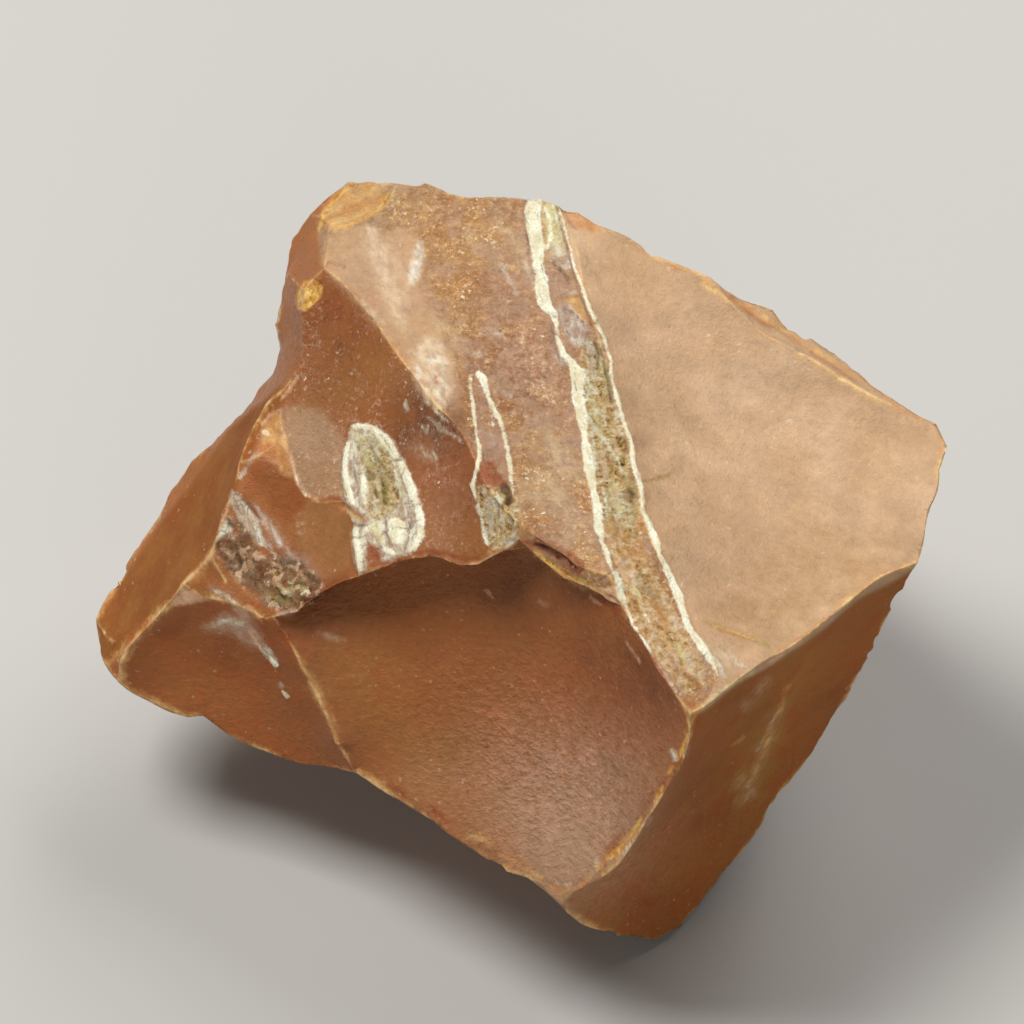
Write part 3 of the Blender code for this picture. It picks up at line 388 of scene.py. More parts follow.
        ((-18.96, 3.06, 0.03), (-18.53, 3.15, 0.08), (-18.02, 3.32, 0.04)),
        ((-18.79, 2.38, 0.06), (-18.36, 2.47, 0.07)),
        ((14.28, -15.64, 0.07), (13.86, -16.41, 0.14)),
        ((9.69, -23.63, 0.07), (9.01, -24.48, 0.12), (8.25, -25.25, 0.07)),
        ((3.06, -27.29, 0.04), (4, -27.54, 0.07), (4.85, -27.29, 0.05)),
        ((6.12, -26.44, 0.1), (6.55, -25.93, 0.19), (6.55, -25.25, 0.1)),
        ((10.62, -22.27, 0.06), (10.97, -21.68, 0.1), (10.79, -21.08, 0.06)),
        ((21.08, -14.45, 0.04), (21.42, -13.77, 0.08), (21.85, -12.92, 0.04)),
        ((20.15, -16.15, 0.04), (20.4, -15.64, 0.07)),
    ),
    "olive": (
        ((-12.75, 8.84, 0.17), (-12.07, 7.65, 0.26), (-11.39, 6.29, 0.29), (-11.56, 5.1, 0.26)),
        ((7.82, 4.85, 0.17), (7.99, 4.25, 0.19), (7.82, 3.74, 0.12)),
        ((9.18, 6.97, 0.14), (9.44, 5.1, 0.15), (9.61, 3.57, 0.12)),
        ((12.24, -5.27, 0.07), (12.92, -6.8, 0.1), (13.77, -8.5, 0.09)),
        ((11.05, -2.04, 0.07), (11.56, -3.23, 0.12), (11.9, -4.08, 0.08)),
        ((-19.72, -1.87, 0.09), (-19.04, -1.7, 0.15), (-18.36, -2.04, 0.1)),
        ((-21.93, -2.38, 0.12), (-21.25, -2.89, 0.2), (-20.57, -3.23, 0.14)),
        ((-20.74, -3.4, 0.09), (-19.72, -3.57, 0.15), (-18.7, -3.4, 0.09)),
        ((10.2, 6.8, 0.1), (11.48, 6.97, 0.19), (12.58, 7.31, 0.17), (13.35, 7.82, 0.09)),
        ((15.64, -5.02, 0.09), (17.17, -5.53, 0.17), (18.7, -6.04, 0.19), (20.06, -6.63, 0.17),
         (21.25, -7.23, 0.09)),
    ),
    "mauve": (
        ((-4.08, 15.47), (-3.06, 15.05), (-2.38, 13.6), (-1.7, 11.9), (-1.28, 9.78), (-0.94, 7.65),
         (-1.02, 6.63), (-1.7, 7.23), (-2.38, 8.5), (-3.06, 8.84), (-3.4, 8.5), (-3.57, 10.2),
         (-3.91, 12.75)),
        ((2.55, 25.33), (3.15, 25.67), (3.91, 24.82), (4.5, 23.46), (3.91, 22.95), (3.06, 23.97)),
        ((2.47, 24.82), (3.06, 23.97), (3.83, 22.87), (3.4, 22.1), (2.72, 22.27), (2.38, 23.46)),
        ((3.15, 21.59), (3.91, 21.85), (4.93, 21.08), (5.78, 20.06), (5.95, 18.87), (5.27, 18.36),
         (4.42, 18.53), (3.74, 19.21), (3.32, 20.4)),
        ((6.55, 9.35), (7.31, 8.93), (7.82, 7.65), (7.31, 6.8), (6.8, 7.82)),
        ((10.2, 2.72), (10.88, 2.55), (11.48, 1.28), (11.48, 0.17), (10.79, -0.09), (10.37, 1.19)),
        ((13.26, -5.27, 0.09), (13.94, -6.46, 0.17), (14.62, -7.82, 0.14)),
        ((9.35, 0.34, 0.14), (10.2, -0.85, 0.17), (11.05, -2.21, 0.12)),
        ((12.07, -7.82), (12.92, -8.5), (13.6, -9.86), (14.11, -11.39), (13.43, -11.39),
         (12.58, -9.86)),
        ((9.86, 1.02), (11.05, 0.34), (11.56, -1.02), (10.88, -1.19), (10.2, -0.17)),
        ((-22.61, 4.76), (-21.42, 3.66), (-20.4, 2.55), (-19.72, 1.53), (-19.98, 0.94),
         (-21.08, 1.1), (-21.76, 2.04), (-22.27, 3.23)),
        ((-21.25, 3.4, 0.09), (-20.4, 2.38, 0.14), (-19.72, 1.28, 0.09)),
        ((-25.84, 1.19, 0.1), (-25.16, 1.7, 0.2), (-24.31, 1.53, 0.17), (-23.8, 0.68, 0.1)),
        ((-24.82, -0.17, 0.09), (-24.14, -1.02, 0.19), (-23.46, -1.7, 0.12)),
        ((-19.55, 0.77), (-18.53, 0.6), (-17.68, -0.17), (-16.75, -1.36), (-17.09, -1.96),
         (-18.19, -1.28), (-19.04, -0.51)),
        ((-26.18, -2.38, 0.14), (-25.59, -2.64, 0.26), (-24.82, -3.15, 0.31), (-23.8, -4, 0.29),
         (-22.95, -4.85, 0.31), (-22.44, -5.78, 0.26)),
        ((-26.18, -5.27), (-25.16, -4.59), (-23.97, -4.59), (-22.78, -5.44), (-21.93, -6.8),
         (-22.44, -7.48), (-23.46, -6.97), (-24.65, -6.29), (-25.84, -5.95)),
    ),
    "haze": (
        ((-8.93, 17.85), (-8.16, 18.87), (-7.31, 18.96), (-6.55, 18.02), (-6.04, 16.58),
         (-5.95, 14.88), (-6.12, 13.6), (-6.72, 13.09), (-7.65, 13.43), (-8.5, 14.62),
         (-9.1, 16.32)),
        ((-8.08, 15.98), (-7.82, 17), (-7.31, 17.43), (-6.72, 16.92), (-6.29, 15.73),
         (-6.21, 14.62), (-6.72, 13.86), (-7.4, 14.28)),
        ((-13.09, 28.22, 0.26), (-12.58, 26.35, 0.43), (-11.9, 24.23, 0.43), (-10.88, 21.68, 0.51),
         (-9.86, 19.55, 0.43)),
        ((-11.39, 26.35, 0.51), (-10.88, 24.48, 0.68), (-10.2, 22.27, 0.68)),
        ((-1.87, 28.73, 0.34), (-0.68, 27.54, 0.51), (0.17, 26.18, 0.51), (0.85, 24.82, 0.34)),
        ((1.1, 23.8, 0.26), (1.96, 22.1, 0.34), (2.47, 20.57, 0.26)),
        ((-4.42, 27.88, 0.34), (-3.74, 26.86, 0.34)),
        ((-6.8, 20.23, 0.34), (-5.78, 19.38, 0.43), (-4.93, 18.36, 0.34)),
        ((2.12, 11.05, 0.34), (3.06, 9.35, 0.43), (3.91, 7.23, 0.34)),
        ((1.36, 5.53, 0.43), (2.72, 4.25, 0.51), (4.08, 2.98, 0.34)),
        ((1.53, 7.14, 0.6), (2.89, 5.78, 0.77), (4.08, 4.08, 0.6), (4.59, 2.55, 0.34)),
        ((-8.93, 9.69, 0.17), (-8.16, 9.35, 0.2), (-7.65, 8.84, 0.17)),
        ((1.7, 30.35), (3.06, 30.35), (3.66, 29.41), (4.17, 27.88), (4.5, 26.18), (4.25, 25.16),
         (3.23, 25.33), (2.38, 25.33), (2.04, 27.2), (1.87, 28.9)),
        ((-26.86, -5.95, 0.12), (-26.01, -5.61, 0.17), (-24.99, -5.02, 0.29), (-23.97, -5.27, 0.37)),
        ((20.15, -11.22, 0.07), (20.57, -10.54, 0.12), (21.08, -10.2, 0.09)),
        ((19.12, -12.41, 0.07), (19.55, -11.9, 0.12)),
        ((18.53, -19.12, 0.07), (19.04, -18.36, 0.1)),
        ((19.38, -19.38, 0.09), (19.98, -18.02, 0.17), (20.74, -16.32, 0.15), (21.51, -14.62, 0.09)),
        ((18.53, -20.74, 0.07), (19.21, -20.23, 0.12), (19.89, -19.72, 0.07)),
        ((14.45, -8.08), (15.3, -6.8), (16.83, -6.8), (18.53, -7.65), (18.87, -8.67),
         (17.68, -9.52), (16.58, -9.35)),
    ),
    "ghost": (
        ((-8.84, 18.19), (-8.16, 18.96), (-7.31, 19.12), (-6.46, 18.19), (-5.87, 16.66),
         (-5.78, 14.79), (-6.12, 13.43), (-6.8, 12.92), (-7.82, 13.43), (-8.67, 14.79),
         (-9.1, 16.49)),
        ((-13.09, 28.31), (-12.58, 28.48), (-12.07, 28.22), (-11.73, 26.86), (-11.39, 25.33),
         (-11.05, 23.8), (-11.73, 23.63), (-12.24, 24.99), (-12.75, 26.69)),
        ((-11.22, 22.95, 0.12), (-10.54, 21.68, 0.22), (-9.86, 20.4, 0.19)),
        ((-13.43, 22.1, 0.09), (-12.58, 21.25, 0.14), (-11.56, 20.23, 0.09)),
        ((-8.76, 27.29), (-8.25, 26.95), (-8.16, 25.84), (-8.42, 24.65), (-9.01, 23.46),
         (-9.52, 23.55), (-9.69, 24.48), (-9.27, 25.67)),
        ((-26.52, -5.7), (-25.33, -4.85), (-24.14, -4.59), (-22.95, -5.27), (-21.93, -6.63),
         (-22.27, -7.31), (-23.29, -6.8), (-24.48, -5.95), (-25.67, -5.95)),
        ((-24.31, -4.08, 0.09), (-23.63, -4.42, 0.19), (-22.95, -4.85, 0.12)),
        ((-17.17, -6.12, 0.1), (-16.15, -6.55, 0.2), (-14.96, -6.8, 0.12)),
        ((1.53, -3.23, 0.03), (2.21, -3.74, 0.08)),
    ),
    "blush": (
        ((6.72, 9.18, 0.09), (7.06, 8.33, 0.15), (7.23, 7.31, 0.1)),
        ((7.82, 6.29, 0.07), (8.16, 5.61, 0.12)),
        ((7.82, 10.2, 0.07), (8.33, 9.52, 0.11)),
        ((10.71, -3.4, 0.07), (11.22, -4.42, 0.12), (11.9, -5.27, 0.09)),
        ((8.16, 0, 0.08), (8.67, -0.85, 0.15), (9.18, -1.7, 0.1)),
        ((9.52, -0.51, 0.05), (10.03, -1.53, 0.09), (10.37, -2.55, 0.05)),
        ((13.94, -8.84, 0.06), (14.45, -9.69, 0.12)),
        ((21.08, -8.5, 0.05), (22.27, -7.82, 0.08), (23.8, -6.8, 0.05)),
        ((6.55, -2.47), (7.31, -2.04), (7.99, -1.87), (8.5, -2.72), (8.16, -3.4), (7.31, -3.15)),
        ((2.72, -0.68, 0.04), (3.74, -1.36, 0.1), (4.76, -1.96, 0.09), (5.95, -2.38, 0.05)),
        ((-22.27, 3.91, 0.03), (-21.59, 2.89, 0.08), (-21, 1.7, 0.05)),
        ((-25.33, 1.02, 0.1), (-24.82, 0.68, 0.15), (-24.48, 0, 0.09)),
        ((-24.14, -0.51, 0.07), (-23.72, -1.19, 0.12)),
        ((-22.78, 0.34, 0.08), (-22.36, 0.68, 0.1)),
        ((-21.25, -0.17, 0.07), (-20.66, -0.51, 0.12), (-20.32, -1.1, 0.08)),
        ((-19.38, -0.51, 0.07), (-18.79, -0.85, 0.12), (-18.19, -1.53, 0.08)),
        ((-23.8, 1.02, 0.05), (-23.29, 0.6, 0.09), (-23.12, 0, 0.05)),
        ((-22.61, -1.7, 0.04), (-22.27, -2.12, 0.08)),
        ((-19.04, -1.02, 0.06), (-18.36, -1.36, 0.09)),
        ((-22.95, -5.95, 0.05), (-22.44, -6.8, 0.1), (-21.85, -7.65, 0.09)),
        ((-29.75, -3.66), (-28.9, -2.72), (-28.31, -2.38), (-27.46, -2.89), (-26.69, -3.4),
         (-28.05, -3.74), (-29.24, -3.91)),
        ((-20.4, 12.75, 0.09), (-20.23, 11.39, 0.15), (-19.98, 9.86, 0.19), (-19.46, 8.33, 0.2),
         (-18.96, 6.8, 0.15), (-18.28, 5.61, 0.12), (-17.34, 5.27, 0.09)),
        ((-33.66, -7.65, 0.07), (-32.81, -6.8, 0.17), (-32.3, -6.12, 0.09)),
        ((-31.79, -5.61, 0.07), (-31.03, -4.85, 0.19), (-30.26, -4.08, 0.12)),
        ((-24.65, 5.36, 0.05), (-24.82, 4.42, 0.1), (-25.33, 3.4, 0.09)),
        ((-21.93, 11.56, 0.09), (-21.25, 12.33, 0.15), (-20.49, 12.75, 0.09)),
        ((-20.23, 13.77, 0.07), (-19.55, 14.62, 0.14), (-18.96, 15.64, 0.08)),
        ((-3.06, -2.38, 0.03), (-2.64, -2.72, 0.07), (-2.3, -3.15, 0.03)),
        ((5.78, -2.81, 0.03), (6.38, -3.32, 0.07), (7.06, -3.74, 0.03)),
        ((9.01, -6.8, 0.03), (9.61, -7.74, 0.06), (10.2, -8.67, 0.03)),
    ),
    # Glassy chips, their brightest gold a painted glow of light through them.
    "honey_and_glow": (
        ((9.69, 5.1, 0.06), (9.86, 4.25, 0.1), (9.95, 3.49, 0.06)),
        ((1.45, 0.85, 0.07), (2.47, -0.09, 0.22), (3.57, -0.85, 0.2), (4.59, -1.53, 0.12)),
        ((4.08, -1.1, 0.1), (4.93, -1.53, 0.22), (5.87, -1.79, 0.14)),
        ((6.38, -2.55, 0.07), (7.14, -2.55, 0.09), (7.74, -2.21, 0.05)),
        ((-21.25, -1.02, 0.07), (-20.74, -1.36, 0.1)),
        ((-18.87, 22.95), (-18.36, 23.72), (-17.51, 23.89), (-16.75, 23.29), (-16.92, 22.44),
         (-17.51, 21.76), (-18.28, 21.17), (-18.87, 21.34), (-19.04, 22.19)),
        ((-15.47, 28.39, 0.09), (-14.28, 28.65, 0.13), (-13.09, 29.16, 0.13), (-11.9, 30.09, 0.11),
         (-11.14, 31.11, 0.09)),
        ((-17.17, 28.05, 0.14), (-16.75, 29.33, 0.14), (-15.64, 30.77, 0.14), (-14.45, 31.79, 0.12)),
        ((15.22, -12.16, 0.05), (14.88, -13.01, 0.1), (14.54, -13.77, 0.07)),
        ((14.28, -14.45, 0.05), (13.94, -15.22, 0.11), (13.69, -16.07, 0.2), (13.43, -16.58, 0.09)),
        ((12.92, -17.34, 0.15), (12.58, -17.94, 0.09)),
        ((12.07, -19.04, 0.07), (11.82, -19.64, 0.19), (11.48, -20.32, 0.1)),
        ((10.29, -21.76, 0.07), (9.78, -22.61, 0.22), (9.35, -23.29, 0.09)),
        ((8.84, -23.97, 0.1), (8.33, -24.65, 0.26), (7.57, -25.33, 0.12)),
        ((6.97, -25.84, 0.09), (6.46, -26.27, 0.15)),
        ((7.14, -25.5, 0.05), (7.99, -24.65, 0.1), (9.01, -23.8, 0.07)),
        ((16.32, -5.36, 0.03), (17.51, -5.7, 0.06), (18.87, -6.12, 0.06), (19.89, -6.55, 0.03)),
    ),
    "sand": (
        ((7.31, 1.28), (8.33, 1.45), (9.69, 1.28), (10.71, 0.68), (11.48, -0.68), (12.24, -2.38),
         (13.09, -3.91), (13.86, -5.53), (14.79, -7.23), (15.64, -8.84), (15.98, -9.86),
         (15.47, -10.88), (14.62, -11.22), (13.77, -11.05), (12.58, -9.69), (11.39, -7.99),
         (10.2, -6.29), (9.35, -4.76), (8.84, -3.4), (8.5, -1.87), (7.82, -0.51)),
    ),
    "grit": (
        ((-24.99, 3.91), (-24.14, 3.49), (-23.21, 2.64), (-22.44, 1.87), (-22.95, 1.62),
         (-23.97, 2.21), (-24.82, 2.98)),
        ((-26.01, 1.62), (-24.82, 2.3), (-23.46, 2.04), (-22.61, 1.28), (-21.93, 0.34),
         (-20.74, 0.6), (-19.55, 0.43), (-18.53, -0.17), (-17.68, -0.94), (-17, -1.7),
         (-16.83, -2.72), (-17.51, -3.4), (-18.87, -4.08), (-20.06, -4.33), (-21.42, -3.91),
         (-22.27, -3.23), (-23.12, -2.55), (-23.97, -1.87), (-24.91, -0.6), (-25.67, 0.34)),
    ),
}
# How each facet of the show side is toned: name, tones, outline (right, up). The pale tone and
# its pinkish-tan bloom on the upper facets are partly paler jasper and partly a painted haze of the
# lights that those facets face.
ZONES = (
    ("smooth bright facet", {"pale": 0.9, "bloom_and_haze": 0.55, "scoop": 0.12},
     ((3.06, 32.3), (10.2, 29.33), (18.7, 22.95), (28.9, 16.15), (36.55, 11.9), (37.4, 6.8),
      (34.85, 0.17), (33.91, -0.51), (28.9, -3.23), (25.42, -5.95), (22.02, -8.42),
      (18.62, -10.29), (15.3, -12.92), (16.66, -9.86), (15.47, -7.31), (13.77, -4.08),
      (12.5, -0.6), (11.48, 1.79), (10.54, 4.17), (9.61, 8.16), (8.67, 12.16), (7.82, 15.3),
      (7.23, 18.87), (5.61, 22.19), (4.5, 25.5), (3.4, 29.5))),
    ("rough facet", {"pale": 0.4, "rough": 1.0, "deep": 0.08, "cells": 1.0},
     ((-17, 29.33), (-14.88, 32.3), (-10.2, 32.98), (-4.25, 31.79), (3.4, 31.45), (4.5, 25.5),
      (5.61, 22.19), (7.23, 18.87), (7.82, 15.3), (9.1, 10.88), (10.29, 5.61), (11.73, 0.68),
      (13.52, -2.98), (15.47, -7.31), (16.83, -9.86), (15.3, -11.9), (13.6, -11.39), (10.2, -6.29),
      (8.67, -3.15), (6.8, -2.55), (4.68, -1.7), (2.55, -0.17), (-0.17, 3.23), (-4.42, 10.46),
      (-10.2, 17.43), (-16.58, 24.91))),
    ("upper lip", {"pale": 0.7, "gold": 0.35},
     ((-16.83, 24.82), (-17.17, 28.73), (-14.88, 32.3), (-10.2, 32.98), (-5.95, 31.79),
      (-8.5, 30.18), (-11.05, 29.24), (-12.75, 27.2))),
    ("clear strip left of the grain", {"pale": 0.55, "bloom_and_haze": 0.35, "rough": -0.75, "cells": -0.9},
     ((-16.83, 24.82), (-16.49, 27.2), (-14.45, 28.48), (-12.58, 28.39), (-11.22, 27.54),
      (-10.2, 28.39), (-9.01, 27.88), (-8.16, 26.35), (-8.5, 23.38), (-7.14, 20.57),
      (-5.78, 17.85), (-4.93, 14.45), (-4.25, 10.2), (-10.2, 17.43))),
    ("red facet", {"red": 0.3, "deep": 0.1, "cells": 0.5},
     ((-16.58, 24.91), (-10.2, 17.43), (-4.42, 10.46), (-0.17, 3.23), (0, 1.7), (-6.38, 0.26),
      (-13.6, -1.45), (-15.3, 2.55), (-14.88, 5.1), (-17.17, 5.36), (-19.04, 6.63), (-20.15, 10.2),
      (-19.55, 15.3), (-18.87, 19.55), (-18.45, 23.38))),
    ("tan part of the red facet", {"pale": 0.75, "bloom_and_haze": 0.4, "cells": 0.1},
     ((-20.23, 12.92), (-18.7, 13.18), (-16.58, 12.58), (-14.88, 10.2), (-14.88, 5.53),
      (-17.17, 5.36), (-18.7, 5.95), (-19.72, 9.35))),
    ("orange chip", {"red": 0.8},
     ((-23.55, 6.46), (-22.27, 8.67), (-21.08, 8.67), (-19.04, 6.63), (-18.19, 5.36),
      (-18.45, 4.5), (-19.72, 3.23), (-21.25, 5.1), (-22.78, 5.95))),
    ("below the ledge", {"gold": 0.3, "pale": 0.15},
     ((-18.19, 5.1), (-14.88, 4.68), (-14.28, 2.55), (-14.11, 0), (-16.15, -1.7), (-17.17, -1.28),
      (-19.04, 1.7))),
    ("scoop", {"red": 0.3, "deep": 0.12, "scoop": 0.3},
     ((-20.83, -3.4), (-17.43, -2.55), (-14.88, -1.7), (-6.38, 0.26), (0, 1.7), (2.72, 0.34),
      (5.87, -2.04), (8.67, -3.15), (10.2, -6.29), (13.6, -11.39), (14.79, -12.92),
      (13.43, -16.15), (11.9, -19.98), (8.93, -24.65), (4.25, -28.9), (2.12, -27.63),
      (-6.8, -22.78), (-13.94, -18.02), (-17.17, -11.9), (-18.7, -7.65))),
    ("right-hand facet", {"red": 0.72, "gold": 0.3, "scoop": 0.3, "dull": 1.0},
     ((14.45, -13.26), (18.62, -10.29), (22.02, -8.42), (25.42, -5.95), (28.9, -3.23),
      (34.17, -0.34), (36.55, -0.85), (29.75, -11.05), (18.7, -24.65), (14.45, -31.03),
      (10.2, -32.73), (5.95, -31.03), (3.91, -28.9), (8.93, -24.65), (11.9, -19.98),
      (13.43, -16.15), (14.79, -12.92))),
    ("left-hand facet", {"deep": 0.4, "red": 0.45, "gold": 0.35, "dull": 1.0},
     ((-36.55, -5.95), (-31.45, 1.7), (-24.65, 11.05), (-20.4, 14.88), (-19.98, 13.6),
      (-21.93, 11.48), (-23.38, 7.65), (-24.65, 5.1), (-26.18, 1.02), (-28.9, -2.55),
      (-33.15, -7.23), (-35.7, -9.78))),
    ("lower left facet", {"red": 0.65, "deep": 0.05, "dull": 0.3, "scoop": 0.3},
     ((-35.7, -9.78), (-31.45, -6.38), (-28.48, -3.4), (-22.95, -3.4), (-19.98, -5.1),
      (-17.17, -11.9), (-13.94, -18.02), (-18.7, -17.43), (-24.65, -14.88), (-28.05, -12.92),
      (-33.15, -11.05))),
)
# Soft stains by tone: right, up, radius, strength. Some of them are painted light and shade, as
# noted at each.
STAINS = {
    "mauve_cloud_and_sheen": (
        (-11.22, 24.82, 1.87, 0.8), (-10.2, 21.68, 1.7, 0.5), (-0.68, 23.38, 2.21, 0.55),
        (2.12, 15.98, 1.87, 0.7), (0.85, 19.55, 2.55, 0.35), (-1.7, 28.48, 1.19, 0.3),
        (3.4, 12.75, 1.87, 0.5), (4.68, 3.4, 1.87, 0.35), (-4.25, 17.85, 0.85, 0.5),
        (0, 17.85, 2.89, 0.4), (-7.65, 9.78, 2.21, 0.3), (-5.95, 5.1, 2.04, 0.3),
        # (4.25, -23.38), (6.8, -18.7) and (0, -17), on the lower hollow, are its painted pink sheen.
        (-17.85, 10.2, 1.87, 0.4), (4.25, -23.38, 5.1, 0.9), (6.8, -18.7, 5.1, 0.6),
        (0, -17, 5.1, 0.35), (2.38, 26.35, 1.36, 0.4), (13.6, 19.55, 3.4, 0.25),
        (17, -7.65, 1.7, 0.15), (17.85, -2.55, 3.4, 0.15),
    ),
    "gold": (
        (-5.53, 24.65, 3.06, 0.8), (-4.25, 20.4, 2.21, 0.4), (-8.08, 28.48, 1.7, 0.5),
        (-1.28, 29.33, 1.53, 0.3), (-10.2, 30.94, 1.53, 0.6), (0, 10.2, 1.87, 0.3),
        (2.12, 5.1, 1.87, 0.4), (-15.3, 14.03, 2.04, 0.25), (-14.45, 15.3, 2.55, 0.3),
        (-4.25, 1.28, 1.19, 0.4), (-12.75, -11.05, 2.89, 0.4), (-7.65, -17, 2.89, 0.4),
        (-14.88, -8.5, 2.04, 0.4), (22.02, -12.07, 1.19, 0.9), (19.98, -17.17, 1.53, 0.9),
        (23.12, -10.03, 1.02, 0.7), (24.14, -8.08, 0.85, 0.5), (19.38, -19.72, 1.19, 0.7),
        (21.08, -14.88, 1.36, 0.8), (19.12, -20.4, 1.19, 0.3), (-27.63, -11.05, 2.04, 0.2),
        (-17, -11.05, 1.19, 0.4), (-31.45, -3.4, 1.7, 0.3), (-18.7, 14.03, 1.19, 0.2),
        (-11.9, 16.15, 2.21, 0.35), (-6.8, 26.35, 1.7, 0.4), (15.3, 12.75, 5.1, 0.12),
        (26.35, 3.4, 4.25, 0.15), (23.8, -3.4, 3.4, 0.3), (10.2, 26.35, 2.55, 0.25),
        (10.2, 22.1, 2.21, 0.2), (28.9, 0, 3.4, 0.25), (19.55, -4.42, 3.91, 0.45),
        (30.6, 11.05, 4.25, 0.12),
    ),
    "red": (
        (-1.28, 17.85, 2.55, 0.7), (0.85, 13.6, 2.38, 0.45), (-1.28, 14.03, 1.36, 0.4),
        (-6.38, 28.48, 1.19, 0.5), (3.4, 1.7, 1.36, 0.4), (-5.95, 6.8, 3.4, 0.4),
        (-4.25, 8.93, 1.53, 0.6), (-7.65, 11.05, 3.4, 0.25), (-11.9, 19.55, 2.55, 0.2),
        (10.2, -11.9, 3.4, 0.3), (5.95, -11.05, 3.91, 0.4), (23.8, -15.3, 1.7, 0.2),
        (10.2, -28.9, 2.21, 0.3), (-21.25, -6.8, 2.04, 0.5), (-22.95, 10.2, 1.36, 0.4),
        (7.82, -3.4, 1.19, 0.6), (-17, 22.1, 1.7, 0.5), (-14.88, 20.83, 2.21, 0.4),
        (18.7, 0, 4.25, 0.08), (14.45, -3.4, 2.55, 0.1),
    ),
    "deep": (
        (-1.7, 18.28, 3.06, 0.35), (0.85, 12.33, 2.21, 0.3), (0, 15.3, 1.87, 0.25),
        # These three and the first of the next line lie along the right wall of the vein: painted
        # shade.
        (10.12, 10.2, 0.85, 0.6), (9.52, 13.43, 0.77, 0.4), (10.29, 7.82, 0.68, 0.35),
        (9.86, 17, 0.85, 0.2), (-5.53, 11.48, 2.38, 0.5), (-8.93, 11.9, 2.38, 0.45),
        (-6.38, 13.18, 1.7, 0.3), (-4.25, 11.05, 1.53, 0.3), (-16.15, 21.25, 1.19, 0.15),
        # The first two here lie just under the lip of the hollow: painted shade.
        (-15.3, -2.98, 2.55, 0.5), (0, -2.55, 3.06, 0.45), (7.65, -6.8, 3.06, 0.35),
        (10.2, -8.93, 2.89, 0.35), (11.48, -11.05, 2.04, 0.35), (12.58, -13.6, 1.7, 0.25),
        (-6.8, -6.8, 5.1, 0.2), (18.7, -11.9, 2.04, 0.35), (15.3, -20.4, 3.4, 0.3),
        (26.35, -11.9, 2.04, 0.3), (-24.65, -8.08, 1.53, 0.4), (3.4, -3.4, 1.36, 0.25),
        (-14.88, 19.55, 2.89, 0.55), (-17, 15.3, 2.38, 0.35), (-18.7, 20.4, 1.36, 0.3),
        (-6.38, 11.05, 2.04, 0.45), (-4.25, 5.1, 2.04, 0.3), (-8.5, 13.6, 1.36, 0.3),
        (-10.2, 10.2, 1.19, 0.3), (-16.15, 22.95, 1.02, 0.2), (0.43, 15.73, 2.21, 0.3),
        (-1.7, 22.1, 1.36, 0.15), (8.93, 19.55, 1.19, 0.3),
    ),
    "pale": (
        (-10.62, 29.33, 2.21, 0.3), (2.38, 8.93, 2.55, 0.25), (-8.5, 16.15, 2.04, 0.3),
        (4.68, 6.38, 1.36, 0.25), (-17, 9.78, 1.7, 0.2), (-6.8, 1.28, 1.53, 0.2),
        # The stains on the lower hollow, between 17 and 26 mm down, are its painted sheen.
        (-8.5, -18.7, 2.89, 0.25), (3.83, -25.93, 3.74, 0.75), (4.68, -22.1, 4.25, 0.3),
        (-2.55, -20.4, 3.91, 0.3), (10.2, -17.85, 2.21, 0.2), (21.42, -13.6, 0.85, 0.35),
        (22.19, -13.18, 1.02, 0.25), (-16.15, -14.45, 1.02, 0.3), (-25.08, 10.2, 1.36, 0.2),
        (3.06, 5.1, 2.89, 0.9), (5.95, -22.95, 5.1, 0.15), (-7.65, 3.4, 1.87, 0.2),
        (3.4, 6.8, 2.04, 0.45), (1.7, 10.2, 1.7, 0.3), (-2.55, 27.2, 2.21, 0.3),
        (2.12, 24.65, 1.7, 0.4), (4.25, 1.7, 1.7, 0.35), (2.98, 4.68, 2.21, 0.3),
    ),
    "dull": (
        (18.7, -10.54, 1.19, 0.8), (22.02, -8.67, 1.28, 0.8), (25.42, -6.29, 1.19, 0.8),
        (29.07, -3.57, 1.19, 0.8), (32.73, -1.19, 1.02, 0.8),
    ),
    "scoop": (
        # The scales here get relief and a painted highlight on their tops.
        (3.4, -19.55, 8.08, 0.6), (-3.4, -13.6, 5.95, 0.35),
    ),
    "cells": (
        (0, 13.6, 4.25, 0.2),
    ),
    # The bloom stains on the upper facets are partly paler jasper and partly a painted haze of the
    # lights.
    "bloom_and_haze": (
        (22.1, 11.05, 5.1, 0.3), (17, 15.3, 4.25, 0.25), (3.4, 4.25, 2.55, 1),
        (3.4, 8.5, 2.04, 0.5), (2.12, 24.65, 1.53, 0.5), (-1.7, 27.2, 2.04, 0.35),
        (6.38, 1.28, 1.36, 0.5),
    ),
}
# Borings through the hidden side, in the stone's own frame: from, to, radius in millimetres.
HIDDEN_BORINGS = (
    ((-4.0, 34.0, 38.0), (6.0, 22.0, 24.0), 2.6),
    ((22.0, 28.0, 34.0), (26.0, 20.0, 12.0), 1.9),
    ((-30.0, 14.0, 12.0), (-18.0, 22.0, 30.0), 2.3),
    ((35.0, 2.0, 24.0), (24.0, -6.0, 6.0), 2.1),
    ((-12.0, 33.0, 8.0), (2.0, 27.0, 12.0), 1.7),
)

# Millimetres that each mineral stands above or below the broken face.
RELIEF = {
    "chalk": 0.05, "cream": 0.08, "crumb": -0.06, "sand": -0.04, "grit": -0.06, "rust": -0.05,
    "crack": -0.08, "dark": -0.22, "amber": -0.08, "honey_and_glow": -0.05,
}
